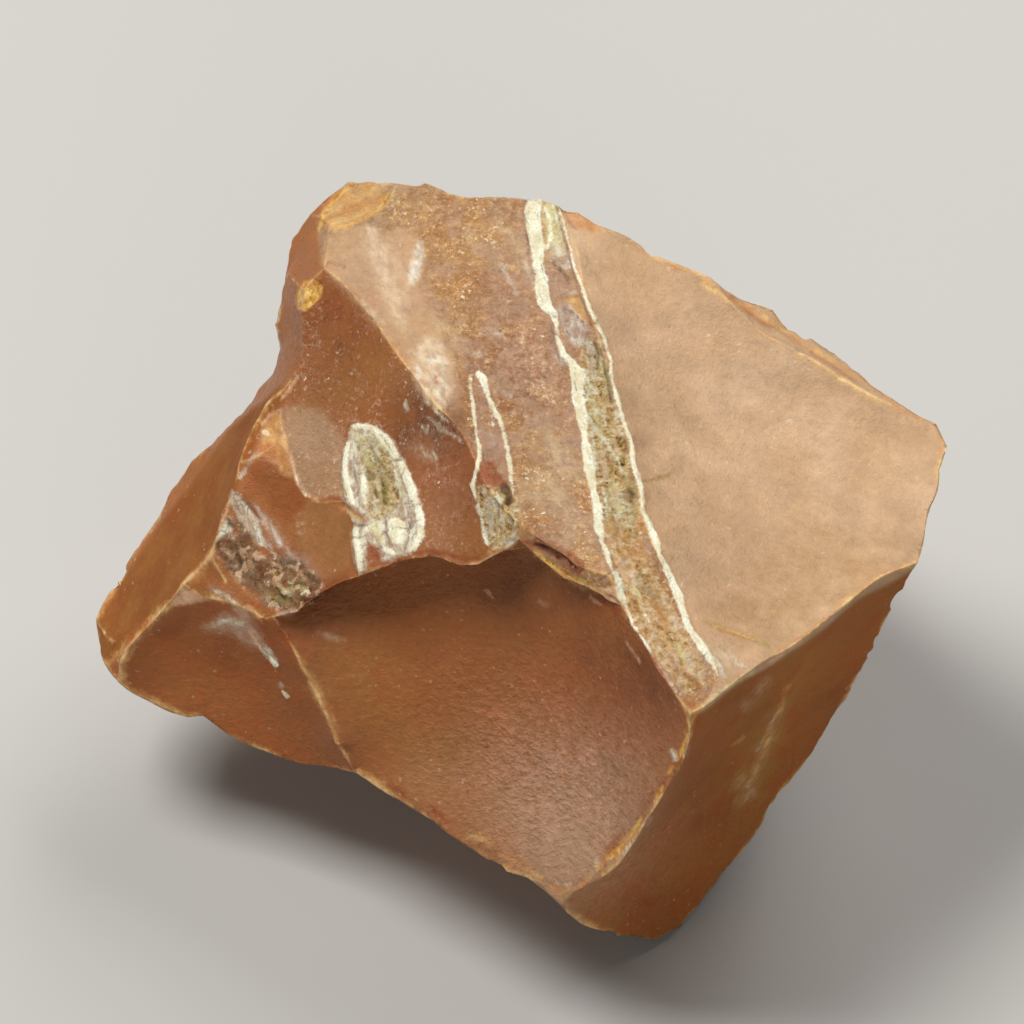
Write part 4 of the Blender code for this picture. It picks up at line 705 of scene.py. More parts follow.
# What every vertex carries for the material: how far inside each mineral it lies, how much of
# each tone it has, and how far inside the amber band and the thin pale rim of a ridge it lies.
# The rim is worn edge and a painted highlight in one.
MINERALS = (
    "haze", "ghost", "mauve", "chalk", "crumb", "sand", "grit", "olive", "straw", "milky", "blush",
    "cream", "rust", "amber", "honey_and_glow", "crack", "dark",
)
TONES = (
    "pale", "bloom_and_haze", "red", "deep", "gold", "mauve_cloud_and_sheen", "rough", "scoop", "cells", "dull",
)
FIELDS = TONES + MINERALS + ("edge", "rim")

WELD = 0.001 * MM
# Cuts across every edge of the solid, and rounds of smoothing for its facets, its ridges and the
# finer triangles near them.
CUTS, FACET_ROUNDS, RIDGE_ROUNDS, LAST_ROUNDS = 3, 24, 3, 2
# Triangles are split once more this near to a ridge, and this far inside a mineral in millimetres.
NEAR_RIDGE = 0.7 * MM
NEAR_MINERAL = -0.3
# Facets that meet at more than the first angle share a ridge, and ridges that stand out by more
# than the second are chipped and worn, fully so from the third on.
RIDGE_ANGLE = 17.0
OUTER_ANGLE = 20.0
SHARP_ANGLE = 55.0
# Edges sharper than this stay sharp in the shading.
SHADED_ANGLE = 40.0
# Millimetres at which a place counts as outside a mineral, or outside every boring, and how far
# round each mark its field is drawn, which is a little past the first.
OUTSIDE = -2.0
NO_BORING = -9.0
DRAWN_REACH = 2.5
# Right and up of what the camera aims at, in millimetres, and how far the lights hang in metres.
VIEW_MIDDLE = (-0.68, 4.08)
LIGHT_DISTANCE = 0.7

# Inputs and output of a Mix node by number, since its values and colours share their names.
VALUE_A, VALUE_B, COLOUR_A, COLOUR_B, COLOUR_OUT = 2, 3, 6, 7, 2


def hex_colour(code):
    """An sRGB hex colour as the linear RGBA that shaders take."""
    channels = [value / 255 for value in bytes.fromhex(code)]
    return [c / 12.92 if c <= 0.04045 else ((c + 0.055) / 1.055) ** 2.4 for c in channels] + [1.0]


def add(tree, kind, inputs=None, **settings):
    """Add a node with its settings, and link or set its inputs."""
    made = tree.nodes.new(kind)
    for name, value in settings.items():
        setattr(made, name, value)
    for name, value in (inputs or {}).items():
        if isinstance(value, bpy.types.NodeSocket):
            tree.links.new(value, made.inputs[name])
        else:
            made.inputs[name].default_value = value
    return made


# --- the stone's surface ---------------------------------------------------------------------


def mark_ridges(bm, least_angle):
    """Mark as seams the edges where two fracture facets meet."""
    for edge in bm.edges:
        edge.seam = edge.calc_face_angle(0.0) > least_angle


def ridge_verts(bm):
    """The vertices that lie on a ridge."""
    return [v for v in bm.verts if any(e.seam for e in v.link_edges)]


def relax(bm, rounds):
    """Take the flat triangles out of the facets, their ridges held in place."""
    held = set(ridge_verts(bm))
    free = [v for v in bm.verts if v not in held]
    for _ in range(rounds):
        bmesh.ops.smooth_vert(
            bm, verts=free, factor=0.5, use_axis_x=True, use_axis_y=True, use_axis_z=True
        )


def relax_ridges(bm, rounds):
    """Take the corners out of the ridge lines, except where several meet and on the floor."""
    runs = []
    for vert in ridge_verts(bm):
        ends = [e.other_vert(vert) for e in vert.link_edges if e.seam]
        if len(ends) == 2 and vert.co.z > 0.05 * MM:
            runs.append((vert, ends[0], ends[1]))
    for _ in range(rounds):
        moved = [v.co * 0.5 + (a.co + b.co) * 0.25 for v, a, b in runs]
        for (vert, _, _), place in zip(runs, moved):
            vert.co = place


def refine(bm, close):
    """Split the edges between the given vertices."""
    edges = [e for e in bm.edges if e.verts[0] in close and e.verts[1] in close]
    bmesh.ops.subdivide_edges(bm, edges=edges, cuts=1, use_grid_fill=True)
    bmesh.ops.triangulate(bm, faces=[f for f in bm.faces if len(f.verts) > 3])


def near_ridges(bm, reach):
    """The vertices within reach of a ridge."""
    held = ridge_verts(bm)
    tree = kdtree.KDTree(len(held))
    for number, vert in enumerate(held):
        tree.insert(vert.co, number)
    tree.balance()
    return {v for v in bm.verts if tree.find(v.co)[2] < reach}


def outer_ridges(bm):
    """For every vertex: millimetres to the nearest outer ridge, and how sharp it is from 0 to 1."""
    points = []
    for edge in bm.edges:
        if edge.seam:
            angle = math.degrees(edge.calc_face_angle_signed(0.0))
            if angle > OUTER_ANGLE:
                a, b = (v.co for v in edge.verts)
                points += [(a.copy(), angle), (a.lerp(b, 0.5), angle)]
    tree = kdtree.KDTree(len(points))
    for number, (point, _) in enumerate(points):
        tree.insert(point, number)
    tree.balance()
    found = [tree.find(v.co) for v in bm.verts]
    away = np.array([f[2] for f in found]) / MM
    angles = np.array([points[f[1]][1] for f in found])
    sharp = np.clip((angles - OUTER_ANGLE) / (SHARP_ANGLE - OUTER_ANGLE), 0.15, 1)
    return away, sharp


def places_of(bm):
    """Where every vertex is, in millimetres."""
    return np.array([v.co for v in bm.verts]) / MM


def normals_of(bm):
    """The way every vertex faces."""
    bm.normal_update()
    return np.array([v.normal for v in bm.verts])


def noise_at(places, length, seed):
    """Smooth noise, about -0.5 to 0.5, with lumps of the given length in millimetres."""
    shift = seed * np.array((17.3, 5.9, 11.1))
    return np.array([noise.noise(p) for p in (places / length + shift).tolist()])


def smooth_step(low, high, values):
    """0 up to the first value, 1 from the second on, and a soft rise between them."""
    t = np.clip((values - low) / (high - low), 0, 1)
    return t * t * (3 - 2 * t)


def as_seen(places):
    """Right and up of each place as they line up from the front, and how far out it stands."""
    q = places - np.array(SHOW_MIDDLE)
    sin, cos = math.sin(SHOW_ELEVATION), math.cos(SHOW_ELEVATION)
    out = q[:, 2] * sin - q[:, 1] * cos
    nearer = 1 - out / SHOW_DISTANCE
    return np.column_stack([q[:, 0] / nearer, (q[:, 1] * sin + q[:, 2] * cos) / nearer]), out


def facing_show(normals):
    """How squarely every vertex faces the show side: 1 head on, 0 edge on, negative away."""
    return normals[:, 2] * math.sin(SHOW_ELEVATION) - normals[:, 1] * math.cos(SHOW_ELEVATION)


def from_stroke(spots, stroke):
    """Millimetres inside a stroke of changing width, and how far left of its middle line."""
    stroke = np.array(stroke)
    best = np.full(len(spots), np.inf)
    signed, cover = np.zeros(len(spots)), np.zeros(len(spots))
    for a, b in zip(stroke[:-1], stroke[1:]):
        side = b[:2] - a[:2]
        gap = spots - a[:2]
        share = np.clip(gap @ side / (side @ side), 0, 1)
        away = gap - share[:, None] * side
        far = np.hypot(away[:, 0], away[:, 1])
        left = np.where(side[0] * gap[:, 1] - side[1] * gap[:, 0] > 0, 1.0, -1.0)
        closer = far < best
        best = np.where(closer, far, best)
        signed = np.where(closer, left * far, signed)
        cover = np.where(closer, a[2] + (b[2] - a[2]) * share - far, cover)
    return cover, signed


def from_outline(spots, outline):
    """Millimetres inside a closed outline, negative outside it."""
    outline = np.array(outline)
    best = np.full(len(spots), np.inf)
    odd = np.zeros(len(spots), dtype=bool)
    for a, b in zip(outline, np.roll(outline, -1, axis=0)):
        side = b - a
        gap = spots - a
        share = np.clip(gap @ side / (side @ side), 0, 1)
        away = gap - share[:, None] * side
        best = np.minimum(best, np.hypot(away[:, 0], away[:, 1]))
        crosses = (a[1] > spots[:, 1]) != (b[1] > spots[:, 1])
        odd ^= crosses & (spots[:, 0] < a[0] + side[0] * (spots[:, 1] - a[1]) / (side[1] or 1e-9))
    return np.where(odd, best, -best)


def from_tube(places, start, end, radius):
    """Millimetres inside the wall of a boring, negative outside it."""
    start, side = np.array(start), np.array(end) - np.array(start)
    gap = places - start
    share = np.clip(gap @ side / (side @ side), 0, 1)
    return radius - np.linalg.norm(gap - share[:, None] * side, axis=1)


def draw(field, spots, marks, on_show):
    """Raise a mineral's field to the cover of its marks on the show side."""
    for mark in marks:
        corners = np.array(mark)[:, :2]
        low, high = corners.min(axis=0) - DRAWN_REACH, corners.max(axis=0) + DRAWN_REACH
        close = np.flatnonzero(on_show & (spots >= low).all(axis=1) & (spots <= high).all(axis=1))
        if len(mark[0]) == 3:
            cover = from_stroke(spots[close], mark)[0]
        else:
            cover = from_outline(spots[close], mark)
        field[close] = np.maximum(field[close], cover)


def mineral_fields(places, normals):
    """Millimetres that every vertex lies inside each mineral, negative outside it."""
    spots, out = as_seen(places)
    facing = facing_show(normals)
    on_show = facing > 0.02
    fields = {name: np.full(len(places), OUTSIDE) for name in MINERALS}
    for name, marks in MARKS.items():
        draw(fields[name], spots, marks, on_show)

    # The vein is a sheet through the whole block; behind the crest it wanders
    behind = smooth_step(0.0, 14.0, -out)[:, None]
    drift = np.column_stack([noise_at(places, 15.0, 3), noise_at(places, 12.0, 4)]) * behind * 9
    shiver = np.column_stack([noise_at(places, 2.2, 14), noise_at(places, 2.6, 15)]) * 0.2
    wander = spots + drift + shiver
    left_cover, left = from_stroke(wander, LEFT_WALL)
    right_cover, right = from_stroke(wander, RIGHT_WALL)
    hidden = ~on_show
    pinch = noise_at(places, 5.0, 16)
    uneven = noise_at(places, 1.7, 17)
    walls = np.maximum(left_cover + 0.20 * uneven, right_cover + 0.06 * uneven) - 0.06
    walls += np.where(hidden, pinch * 0.5, 0)
    fields["cream"] = np.maximum(fields["cream"], walls)
    between = np.minimum(left, -right)
    beside = left + 0.35 + 1.6 * pinch - 2.0 * smooth_step(-2.0, -4.5, spots[:, 1])
    fields["mauve"] = np.maximum(fields["mauve"], np.where(left < 0, beside, OUTSIDE))
    fields["crumb"][hidden] = np.maximum(fields["crumb"], between + 0.1)[hidden]

    # Borings that come out on the hidden side
    drilled = np.full(len(places), NO_BORING)
    warped = places + np.column_stack([noise_at(places, 3.0, n) for n in (11, 12, 13)]) * 1.3
    for start, end, radius in HIDDEN_BORINGS:
        drilled = np.maximum(drilled, from_tube(warped, start, end, radius))
    drilled = np.where(facing < 0.25, drilled, NO_BORING)
    fields["cream"] = np.maximum(fields["cream"], 0.28 - np.abs(drilled - 0.3))
    fields["chalk"] = np.maximum(fields["chalk"], 0.55 - np.abs(drilled - 0.7) + 0.5 * pinch)
    fields["crumb"] = np.maximum(fields["crumb"], drilled - 0.9)
    fields["mauve"] = np.maximum(fields["mauve"], np.minimum(drilled + 0.6, 0.5))
    return {name: np.clip(values, OUTSIDE, -OUTSIDE) for name, values in fields.items()}


def tone_fields(places, normals):
    """How much of each tone the stone has at every vertex, from 0 to 1."""
    spots = as_seen(places)[0]
    show = smooth_step(-0.05, 0.12, facing_show(normals))
    fields = {name: np.zeros(len(places)) for name in TONES}
    for _, tones, outline in ZONES:
        share = smooth_step(-0.25, 0.25, from_outline(spots, outline)) * show
        for tone, value in tones.items():
            fields[tone] += value * share
    for tone, stains in STAINS.items():
        for right, up, radius, value in stains:
            fade = np.exp(-((spots - (right, up)) ** 2).sum(axis=1) / (1.3 * radius**2))
            fields[tone] += value * show * fade
    # Hidden facets take their tones from broad clouds
    rest = 1 - show
    fields["deep"] += rest * 0.55 * smooth_step(-0.25, 0.3, noise_at(places, 19.0, 21))
    fields["red"] += rest * 0.6 * smooth_step(-0.2, 0.35, noise_at(places, 14.0, 22))
    fields["pale"] += rest * 0.5 * smooth_step(0.0, 0.4, noise_at(places, 17.0, 23))
    fields["gold"] += rest * 0.5 * smooth_step(0.05, 0.4, noise_at(places, 10.0, 24))
    fields["rough"] += rest * smooth_step(0.0, 0.25, noise_at(places, 21.0, 25))
    fields["scoop"] += rest * smooth_step(0.05, -0.15, noise_at(places, 21.0, 25))
    fields["cells"] += rest * fields["rough"] * 0.8
    return {name: np.clip(values, 0, 1) for name, values in fields.items()}


def move_along_normals(bm, height):
    """Move each vertex by millimetres, the resting spot held and the rim round it nearly so."""
    bm.normal_update()
    for vert, high in zip(bm.verts, height.tolist()):
        free = min(max((vert.co.z - 0.15 * MM) / (0.6 * MM), 0.0), 1.0)
        vert.co += vert.normal * (high * MM * free)


def chips(places, settings, away, sharp):
    """Depth of the small flakes missing along the ridges."""
    flakes = noise_at(places, 2.6, 1) + 0.45 * noise_at(places, 1.1, 2)
    runs = smooth_step(-0.1, 0.4, noise_at(places, 8.0, 5))
    # The low ridge at the right is almost whole
    runs *= 1 - 0.8 * smooth_step(26.0, 19.0, places[:, 2]) * smooth_step(8.0, 16.0, places[:, 0])
    depth = settings.chip_depth / MM * smooth_step(0.05, 0.4, flakes) * (0.06 + 0.94 * runs)
    reach = 1.1
    return -depth * sharp * np.clip(1 - away / reach, 0, 1) ** 1.3


def relief(places, settings, minerals, tones, away):
    """Ripples of the fracture, grain of the rough facets, and the relief of the minerals."""
    calm = smooth_step(0.0, 1.5, away)
    ripples = noise_at(places, 6.5, 6) + 0.45 * noise_at(places, 2.8, 7)
    height = settings.ripple_height / MM * calm * ripples
    grain = noise_at(places, 1.0, 8) + 0.7 * noise_at(places, 2.1, 9)
    grain += 0.5 * noise_at(places, 0.55, 10)
    height += settings.grain_height / MM * grain * (0.2 + tones["rough"])
    for name, rise in RELIEF.items():
        height += rise * smooth_step(-0.08, 0.16, minerals[name])
    crumbs = 0.5 * smooth_step(-0.05, 0.25, minerals["crumb"])
    crumbs += smooth_step(-0.05, 0.25, minerals["grit"])
    height += settings.crumb_height / MM * crumbs * grain
    return height


def worn_edges_and_ridge_highlight(places, settings, away, sharp):
    """Millimetres inside the amber band and the thin pale rim along the outer ridges; the rim is
    worn edge and painted highlight in one.
    """
    width = smooth_step(
        -0.35, 0.45, noise_at(places, 7.0, 30) + 0.4 * noise_at(places, 2.0, 31)
    )
    return {
        "edge": np.clip(settings.worn_width / MM * width * sharp - 0.08 - away, -3.0, 3.0),
        "rim": np.clip((0.34 * width - 0.10) * sharp - away, -3.0, 3.0),
    }


def grouped(names):
    """The names three by three, since one vector attribute of the mesh holds three fields."""
    return [names[first:first + 3] for first in range(0, len(names), 3)]


def store_fields(mesh, fields):
    """Keep the fields in the mesh, where the material reads them."""
    for number, names in enumerate(grouped(FIELDS)):
        values = np.zeros((len(mesh.vertices), 3), dtype=np.float32)
        for axis, name in enumerate(names):
            values[:, axis] = fields[name]
        stored = mesh.attributes.new(f"fields_{number}", "FLOAT_VECTOR", "POINT")
        stored.data.foreach_set("vector", values.ravel())


class StoneSettings(bpy.types.PropertyGroup):
    chip_depth: bpy.props.FloatProperty(
        name="Chip depth", description="Depth of the flakes missing along the sharp ridges",
        default=0.4 * MM, min=0.0, subtype="DISTANCE", unit="LENGTH",
    )
    ripple_height: bpy.props.FloatProperty(
        name="Ripple height", description="Height of the shell-like ripples of each fracture",
        default=0.14 * MM, min=0.0, subtype="DISTANCE", unit="LENGTH",
    )
    grain_height: bpy.props.FloatProperty(
        name="Grain height", description="Height of the grain of the rough facets",
        default=0.10 * MM, min=0.0, subtype="DISTANCE", unit="LENGTH",
    )
    crumb_height: bpy.props.FloatProperty(
        name="Crumb height", description="Height of the crumbs that fill veins and borings",
        default=0.35 * MM, min=0.0, subtype="DISTANCE", unit="LENGTH",
    )
    worn_width: bpy.props.FloatProperty(
        name="Worn width", description="Greatest width of the amber band along a worn ridge",
        default=0.7 * MM, min=0.0, subtype="DISTANCE", unit="LENGTH",
    )
    brown: bpy.props.FloatVectorProperty(
        name="Brown", description="Most of the jasper", subtype="COLOR", size=4, min=0, max=1,
        default=hex_colour("A06334"),
    )
    # Mixed in by the pale tone: paler jasper, and on the upper facets partly a painted haze of the
    # lights.
    tan: bpy.props.FloatVectorProperty(
        name="Tan", description="Paler jasper of the upper facets", subtype="COLOR", size=4,
        min=0, max=1, default=hex_colour("B7936B"),
    )
    red: bpy.props.FloatVectorProperty(
        name="Red", description="Redder jasper, richer in iron", subtype="COLOR", size=4,
        min=0, max=1, default=hex_colour("944A22"),
    )
    deep: bpy.props.FloatVectorProperty(
        name="Deep brown", description="Darkest jasper", subtype="COLOR", size=4, min=0, max=1,
        default=hex_colour("643618"),
    )
    gold: bpy.props.FloatVectorProperty(
        name="Golden brown", description="Jasper stained by yellow iron oxide",
        subtype="COLOR", size=4, min=0, max=1, default=hex_colour("A87838"),
    )
    cream: bpy.props.FloatVectorProperty(
        name="Cream", description="Walls of the veins and borings", subtype="COLOR", size=4,
        min=0, max=1, default=hex_colour("FBF7DC"),
    )
    amber: bpy.props.FloatVectorProperty(
        name="Amber", description="Thin, see-through broken edges", subtype="COLOR", size=4,
        min=0, max=1, default=hex_colour("E2B672"),
    )


def stored_fields(tree):
    """The fields that the mesh carries, by name."""
    field = {}
    for number, names in enumerate(grouped(FIELDS)):
        stored = add(tree, "ShaderNodeAttribute", attribute_name=f"fields_{number}")
        parts = add(tree, "ShaderNodeSeparateXYZ", {0: stored.outputs["Vector"]})
        field.update(zip(names, parts.outputs))
    return field


def patterns(tree, field):
    """The noises that colours and relief follow, and the parts of them that are in use."""
    place = add(tree, "ShaderNodeTexCoord").outputs["Object"]
    mm = add(
        tree, "ShaderNodeVectorMath", {0: place, "Scale": 1 / MM}, operation="SCALE"
    ).outputs[0]
    # The old wood's grain: turned so that X runs along it, then drawn out five to one
    turn = Vector(GRAIN).rotation_difference(Vector((1, 0, 0))).to_euler()
    turned = add(
        tree, "ShaderNodeMapping", {"Vector": mm, "Rotation": tuple(turn)}
    ).outputs[0]
    along = add(
        tree, "ShaderNodeVectorMath", {0: turned, 1: (0.2, 1.0, 1.0)}, operation="MULTIPLY"
    ).outputs[0]
    wide = add(
        tree, "ShaderNodeVectorMath", {0: mm, 1: (0.6, 1.0, 1.0)}, operation="MULTIPLY"
    ).outputs[0]
    pattern = {}
    # Lumps of 14, 6, 3, 0.7, 0.7, 0.6, 0.4 and 0.25 mm, streaks of 4 by 0.8 mm along the grain,
    # and scales of 0.8 by 0.5 mm on the shell-shaped hollow. True fibres, under 0.05 mm, are too
    # fine to show, so the streaks are drawn that coarse.
    for name, source, scale, detail, roughness in (
        ("broad", mm, 0.07, 3.0, 0.55),
        ("drift", mm, 0.16, 4.0, 0.60),
        ("mottle", mm, 0.33, 5.0, 0.65),
        ("fleck", mm, 1.4, 4.0, 0.70),
        ("web", mm, 1.5, 3.0, 0.60),
        ("rag", mm, 1.6, 5.0, 0.75),
        ("blob", mm, 2.4, 3.0, 0.65),
        ("speck", mm, 4.0, 2.0, 0.60),
        ("streak", along, 1.3, 4.0, 0.65),
        ("scale", wide, 2.0, 2.0, 0.55),
    ):
        pattern[name] = add(
            tree, "ShaderNodeTexNoise",
            {"Vector": source, "Scale": scale, "Detail": detail, "Roughness": roughness},
        ).outputs["Fac"]
    # How far the web is from its middle value, which it crosses in thin lines
    off = add(tree, "ShaderNodeMath", {0: pattern["web"], 1: 0.5}, operation="SUBTRACT").outputs[0]
    line = add(tree, "ShaderNodeMath", {0: off}, operation="ABSOLUTE").outputs[0]

    # Parts of a noise or a field, stretched from one range to another
    for name, source, low, high, first, last in (
        ("shade", pattern["broad"], 0.35, 0.65, 0.92, 1.08),
        ("scale_tops", pattern["scale"], 0.42, 0.75, 0.0, 1.0),
        ("scale_patches", pattern["mottle"], 0.38, 0.58, 0.25, 1.0),
        ("threads", line, 0.006, 0.034, 1.0, 0.0),
        ("thread_patches", pattern["mottle"], 0.46, 0.60, 0.0, 1.0),
        ("thread_strength", field["cells"], 0.0, 1.0, 0.0, 0.34),
        ("blobs", pattern["blob"], 0.57, 0.68, 0.0, 0.62),
        ("dot_and_glint_strength", field["cells"], 0.0, 1.0, 0.28, 0.90),
        ("dot_and_glint_patches", pattern["mottle"], 0.42, 0.58, 0.12, 1.0),
        ("grain_tint", pattern["streak"], 0.42, 0.62, 0.0, 1.0),
        ("hair_cracks", line, 0.003, 0.016, 0.6, 0.0),
        ("seam_width", pattern["fleck"], 0.42, 0.64, 0.0, 0.14),
        ("warm", pattern["mottle"], 0.40, 0.60, 0.0, 1.0),
        ("hot", pattern["rag"], 0.42, 0.58, 0.0, 1.0),
        ("thin", pattern["streak"], 0.38, 0.58, 0.0, 1.0),
        ("crumbs", field["crumb"], -0.1, 0.1, 0.0, 1.0),
        ("grits", field["grit"], -0.1, 0.1, 0.0, 0.6),
        ("shine", pattern["fleck"], 0.36, 0.60, 0.26, 0.52),
        ("gleam", field["dull"], 0.0, 1.0, 0.25, 0.10),
    ):
        pattern[name] = add(
            tree, "ShaderNodeMapRange",
            {"Value": source, "From Min": low, "From Max": high, "To Min": first, "To Max": last},
        ).outputs[0]
    pattern["scales"] = add(
        tree, "ShaderNodeMath", {0: field["scoop"], 1: pattern["scale_tops"]}, operation="MULTIPLY"
    ).outputs[0]

    # Places shaken for ragged cells of quartz, and bent for angular blocks and crystals
    for name, noises, reach in (
        ("shaken", ("speck", "blob", "rag"), (0.8, 0.8, 0.8)),
        ("bent", ("mottle", "streak", "web"), (2.4, 1.4, 1.4)),
    ):
        shift = add(
            tree, "ShaderNodeCombineXYZ", {axis: pattern[noises[axis]] for axis in range(3)}
        ).outputs[0]
        pattern[name] = add(
            tree, "ShaderNodeVectorMath", {0: shift, 1: reach, 2: mm}, operation="MULTIPLY_ADD"
        ).outputs[0]
    return pattern


def jasper_body(tree, settings, field, pattern):
    """Tan and brown jasper and its stains, with a painted haze on the facets that face the lights,
    a painted sheen low on the hollow and painted shade by the vein and under the lip, each broken
    up, and lit and darkened at each size.
    """
    # The pale tone mixes in tan: paler jasper, and on the facets that face the lights a painted
    # haze.
    body = add(
        tree, "ShaderNodeMix",
        {"Factor": field["pale"], COLOUR_A: settings.brown, COLOUR_B: settings.tan},
        data_type="RGBA",
    ).outputs[COLOUR_OUT]
    for name, grain, low, high, strength, colour in (
        # The pinkish-tan bloom: partly paler jasper, partly a painted haze on the facets that face
        # the lights.
        ("bloom_and_haze", "drift", 0.25, 0.75, 0.85, hex_colour("C6A688")),
        ("red", "mottle", 0.25, 0.60, 0.90, settings.red),
        ("gold", "mottle", 0.70, 0.40, 0.75, settings.gold),
        ("deep", "mottle", 0.30, 0.60, 1.00, settings.deep),
        ("rough", "mottle", 0.48, 0.60, 0.75, hex_colour("A8773C")),
        ("rough", "fleck", 0.50, 0.68, 0.50, hex_colour("CBA874")),
        ("rough", "mottle", 0.52, 0.40, 0.75, hex_colour("C09A7A")),
        ("rough", "drift", 0.50, 0.62, 0.55, hex_colour("9A6236")),
        # Mauve clouds, and on the lower hollow a painted pink sheen.
        ("mauve_cloud_and_sheen", "fleck", 0.26, 0.58, 0.80, hex_colour("B48C72")),
    ):
        patchy = add(
            tree, "ShaderNodeMapRange",
            {"Value": pattern[grain], "From Min": low, "From Max": high, "To Max": strength},
        ).outputs[0]
        share = add(
            tree, "ShaderNodeMath", {0: field[name], 1: patchy},
            operation="MULTIPLY", use_clamp=True,
        ).outputs[0]
        body = add(
            tree, "ShaderNodeMix", {"Factor": share, COLOUR_A: body, COLOUR_B: colour},
            data_type="RGBA",
        ).outputs[COLOUR_OUT]
    # Light and dark at each size, stronger on the rough facets
    shade = pattern["shade"]
    for name, smooth, rough in (
        ("mottle", 0.70, 1.10), ("fleck", 0.50, 0.95), ("speck", 0.22, 0.60),
    ):
        depth = add(
            tree, "ShaderNodeMapRange", {"Value": field["rough"], "To Min": smooth, "To Max": rough}
        ).outputs[0]
        off = add(
            tree, "ShaderNodeMath", {0: pattern[name], 1: 0.5}, operation="SUBTRACT"
        ).outputs[0]
        shade = add(
            tree, "ShaderNodeMath", {0: off, 1: depth, 2: shade}, operation="MULTIPLY_ADD"
        ).outputs[0]
    # Scale tops on the shell-shaped hollow are painted a tenth lighter: a painted highlight on the
    # scales that fine_relief also raises.
    scales = add(
        tree, "ShaderNodeMath", {0: pattern["scales"], 1: pattern["scale_patches"]},
        operation="MULTIPLY",
    ).outputs[0]
    shade = add(
        tree, "ShaderNodeMath", {0: scales, 1: 0.10, 2: shade}, operation="MULTIPLY_ADD"
    ).outputs[0]
    return add(
        tree, "ShaderNodeVectorMath", {0: body, "Scale": shade}, operation="SCALE"
    ).outputs[0]


def quartz_and_glints_over(tree, body, field, pattern):
    """Pale threads and ragged pale cells of quartz over the body, most on the rough facets; the pale
    dots are also painted glints of light on the sparkly rough facets.
    """
    threads = add(
        tree, "ShaderNodeMath", {0: pattern["threads"], 1: pattern["thread_patches"]},
        operation="MULTIPLY",
    ).outputs[0]
    threads = add(
        tree, "ShaderNodeMath", {0: threads, 1: pattern["thread_strength"]}, operation="MULTIPLY"
    ).outputs[0]
    threads = add(
        tree, "ShaderNodeMath", {0: pattern["blobs"], 1: field["cells"], 2: threads},
        operation="MULTIPLY_ADD", use_clamp=True,
    ).outputs[0]
    # Each cell draws its own size from its random colour, so that about half of them show
    cells = add(
        tree, "ShaderNodeTexVoronoi", {"Vector": pattern["shaken"], "Scale": 1.5, "Randomness": 1.0}
    )
    drawn = add(tree, "ShaderNodeSeparateColor", {"Color": cells.outputs["Color"]}).outputs[0]
    radius = add(
        tree, "ShaderNodeMapRange",
        {"Value": drawn, "From Min": 0.45, "From Max": 1.0, "To Min": 0.0, "To Max": 0.26},
    ).outputs[0]
    inside = add(
        tree, "ShaderNodeMath", {0: radius, 1: cells.outputs["Distance"]}, operation="SUBTRACT"
    ).outputs[0]
    dots_and_glints = add(
        tree, "ShaderNodeMapRange", {"Value": inside, "From Min": 0.0, "From Max": 0.06}
    ).outputs[0]
    dots_and_glints = add(
        tree, "ShaderNodeMath", {0: dots_and_glints, 1: pattern["dot_and_glint_strength"], 2: threads},
        operation="MULTIPLY_ADD",
    ).outputs[0]
    dots_and_glints = add(
        tree, "ShaderNodeMath", {0: dots_and_glints, 1: pattern["dot_and_glint_patches"]},
        operation="MULTIPLY", use_clamp=True,
    ).outputs[0]
    return add(
        tree, "ShaderNodeMix", {"Factor": dots_and_glints, COLOUR_A: body, COLOUR_B: hex_colour("F0DFC0")},
        data_type="RGBA",
    ).outputs[COLOUR_OUT]


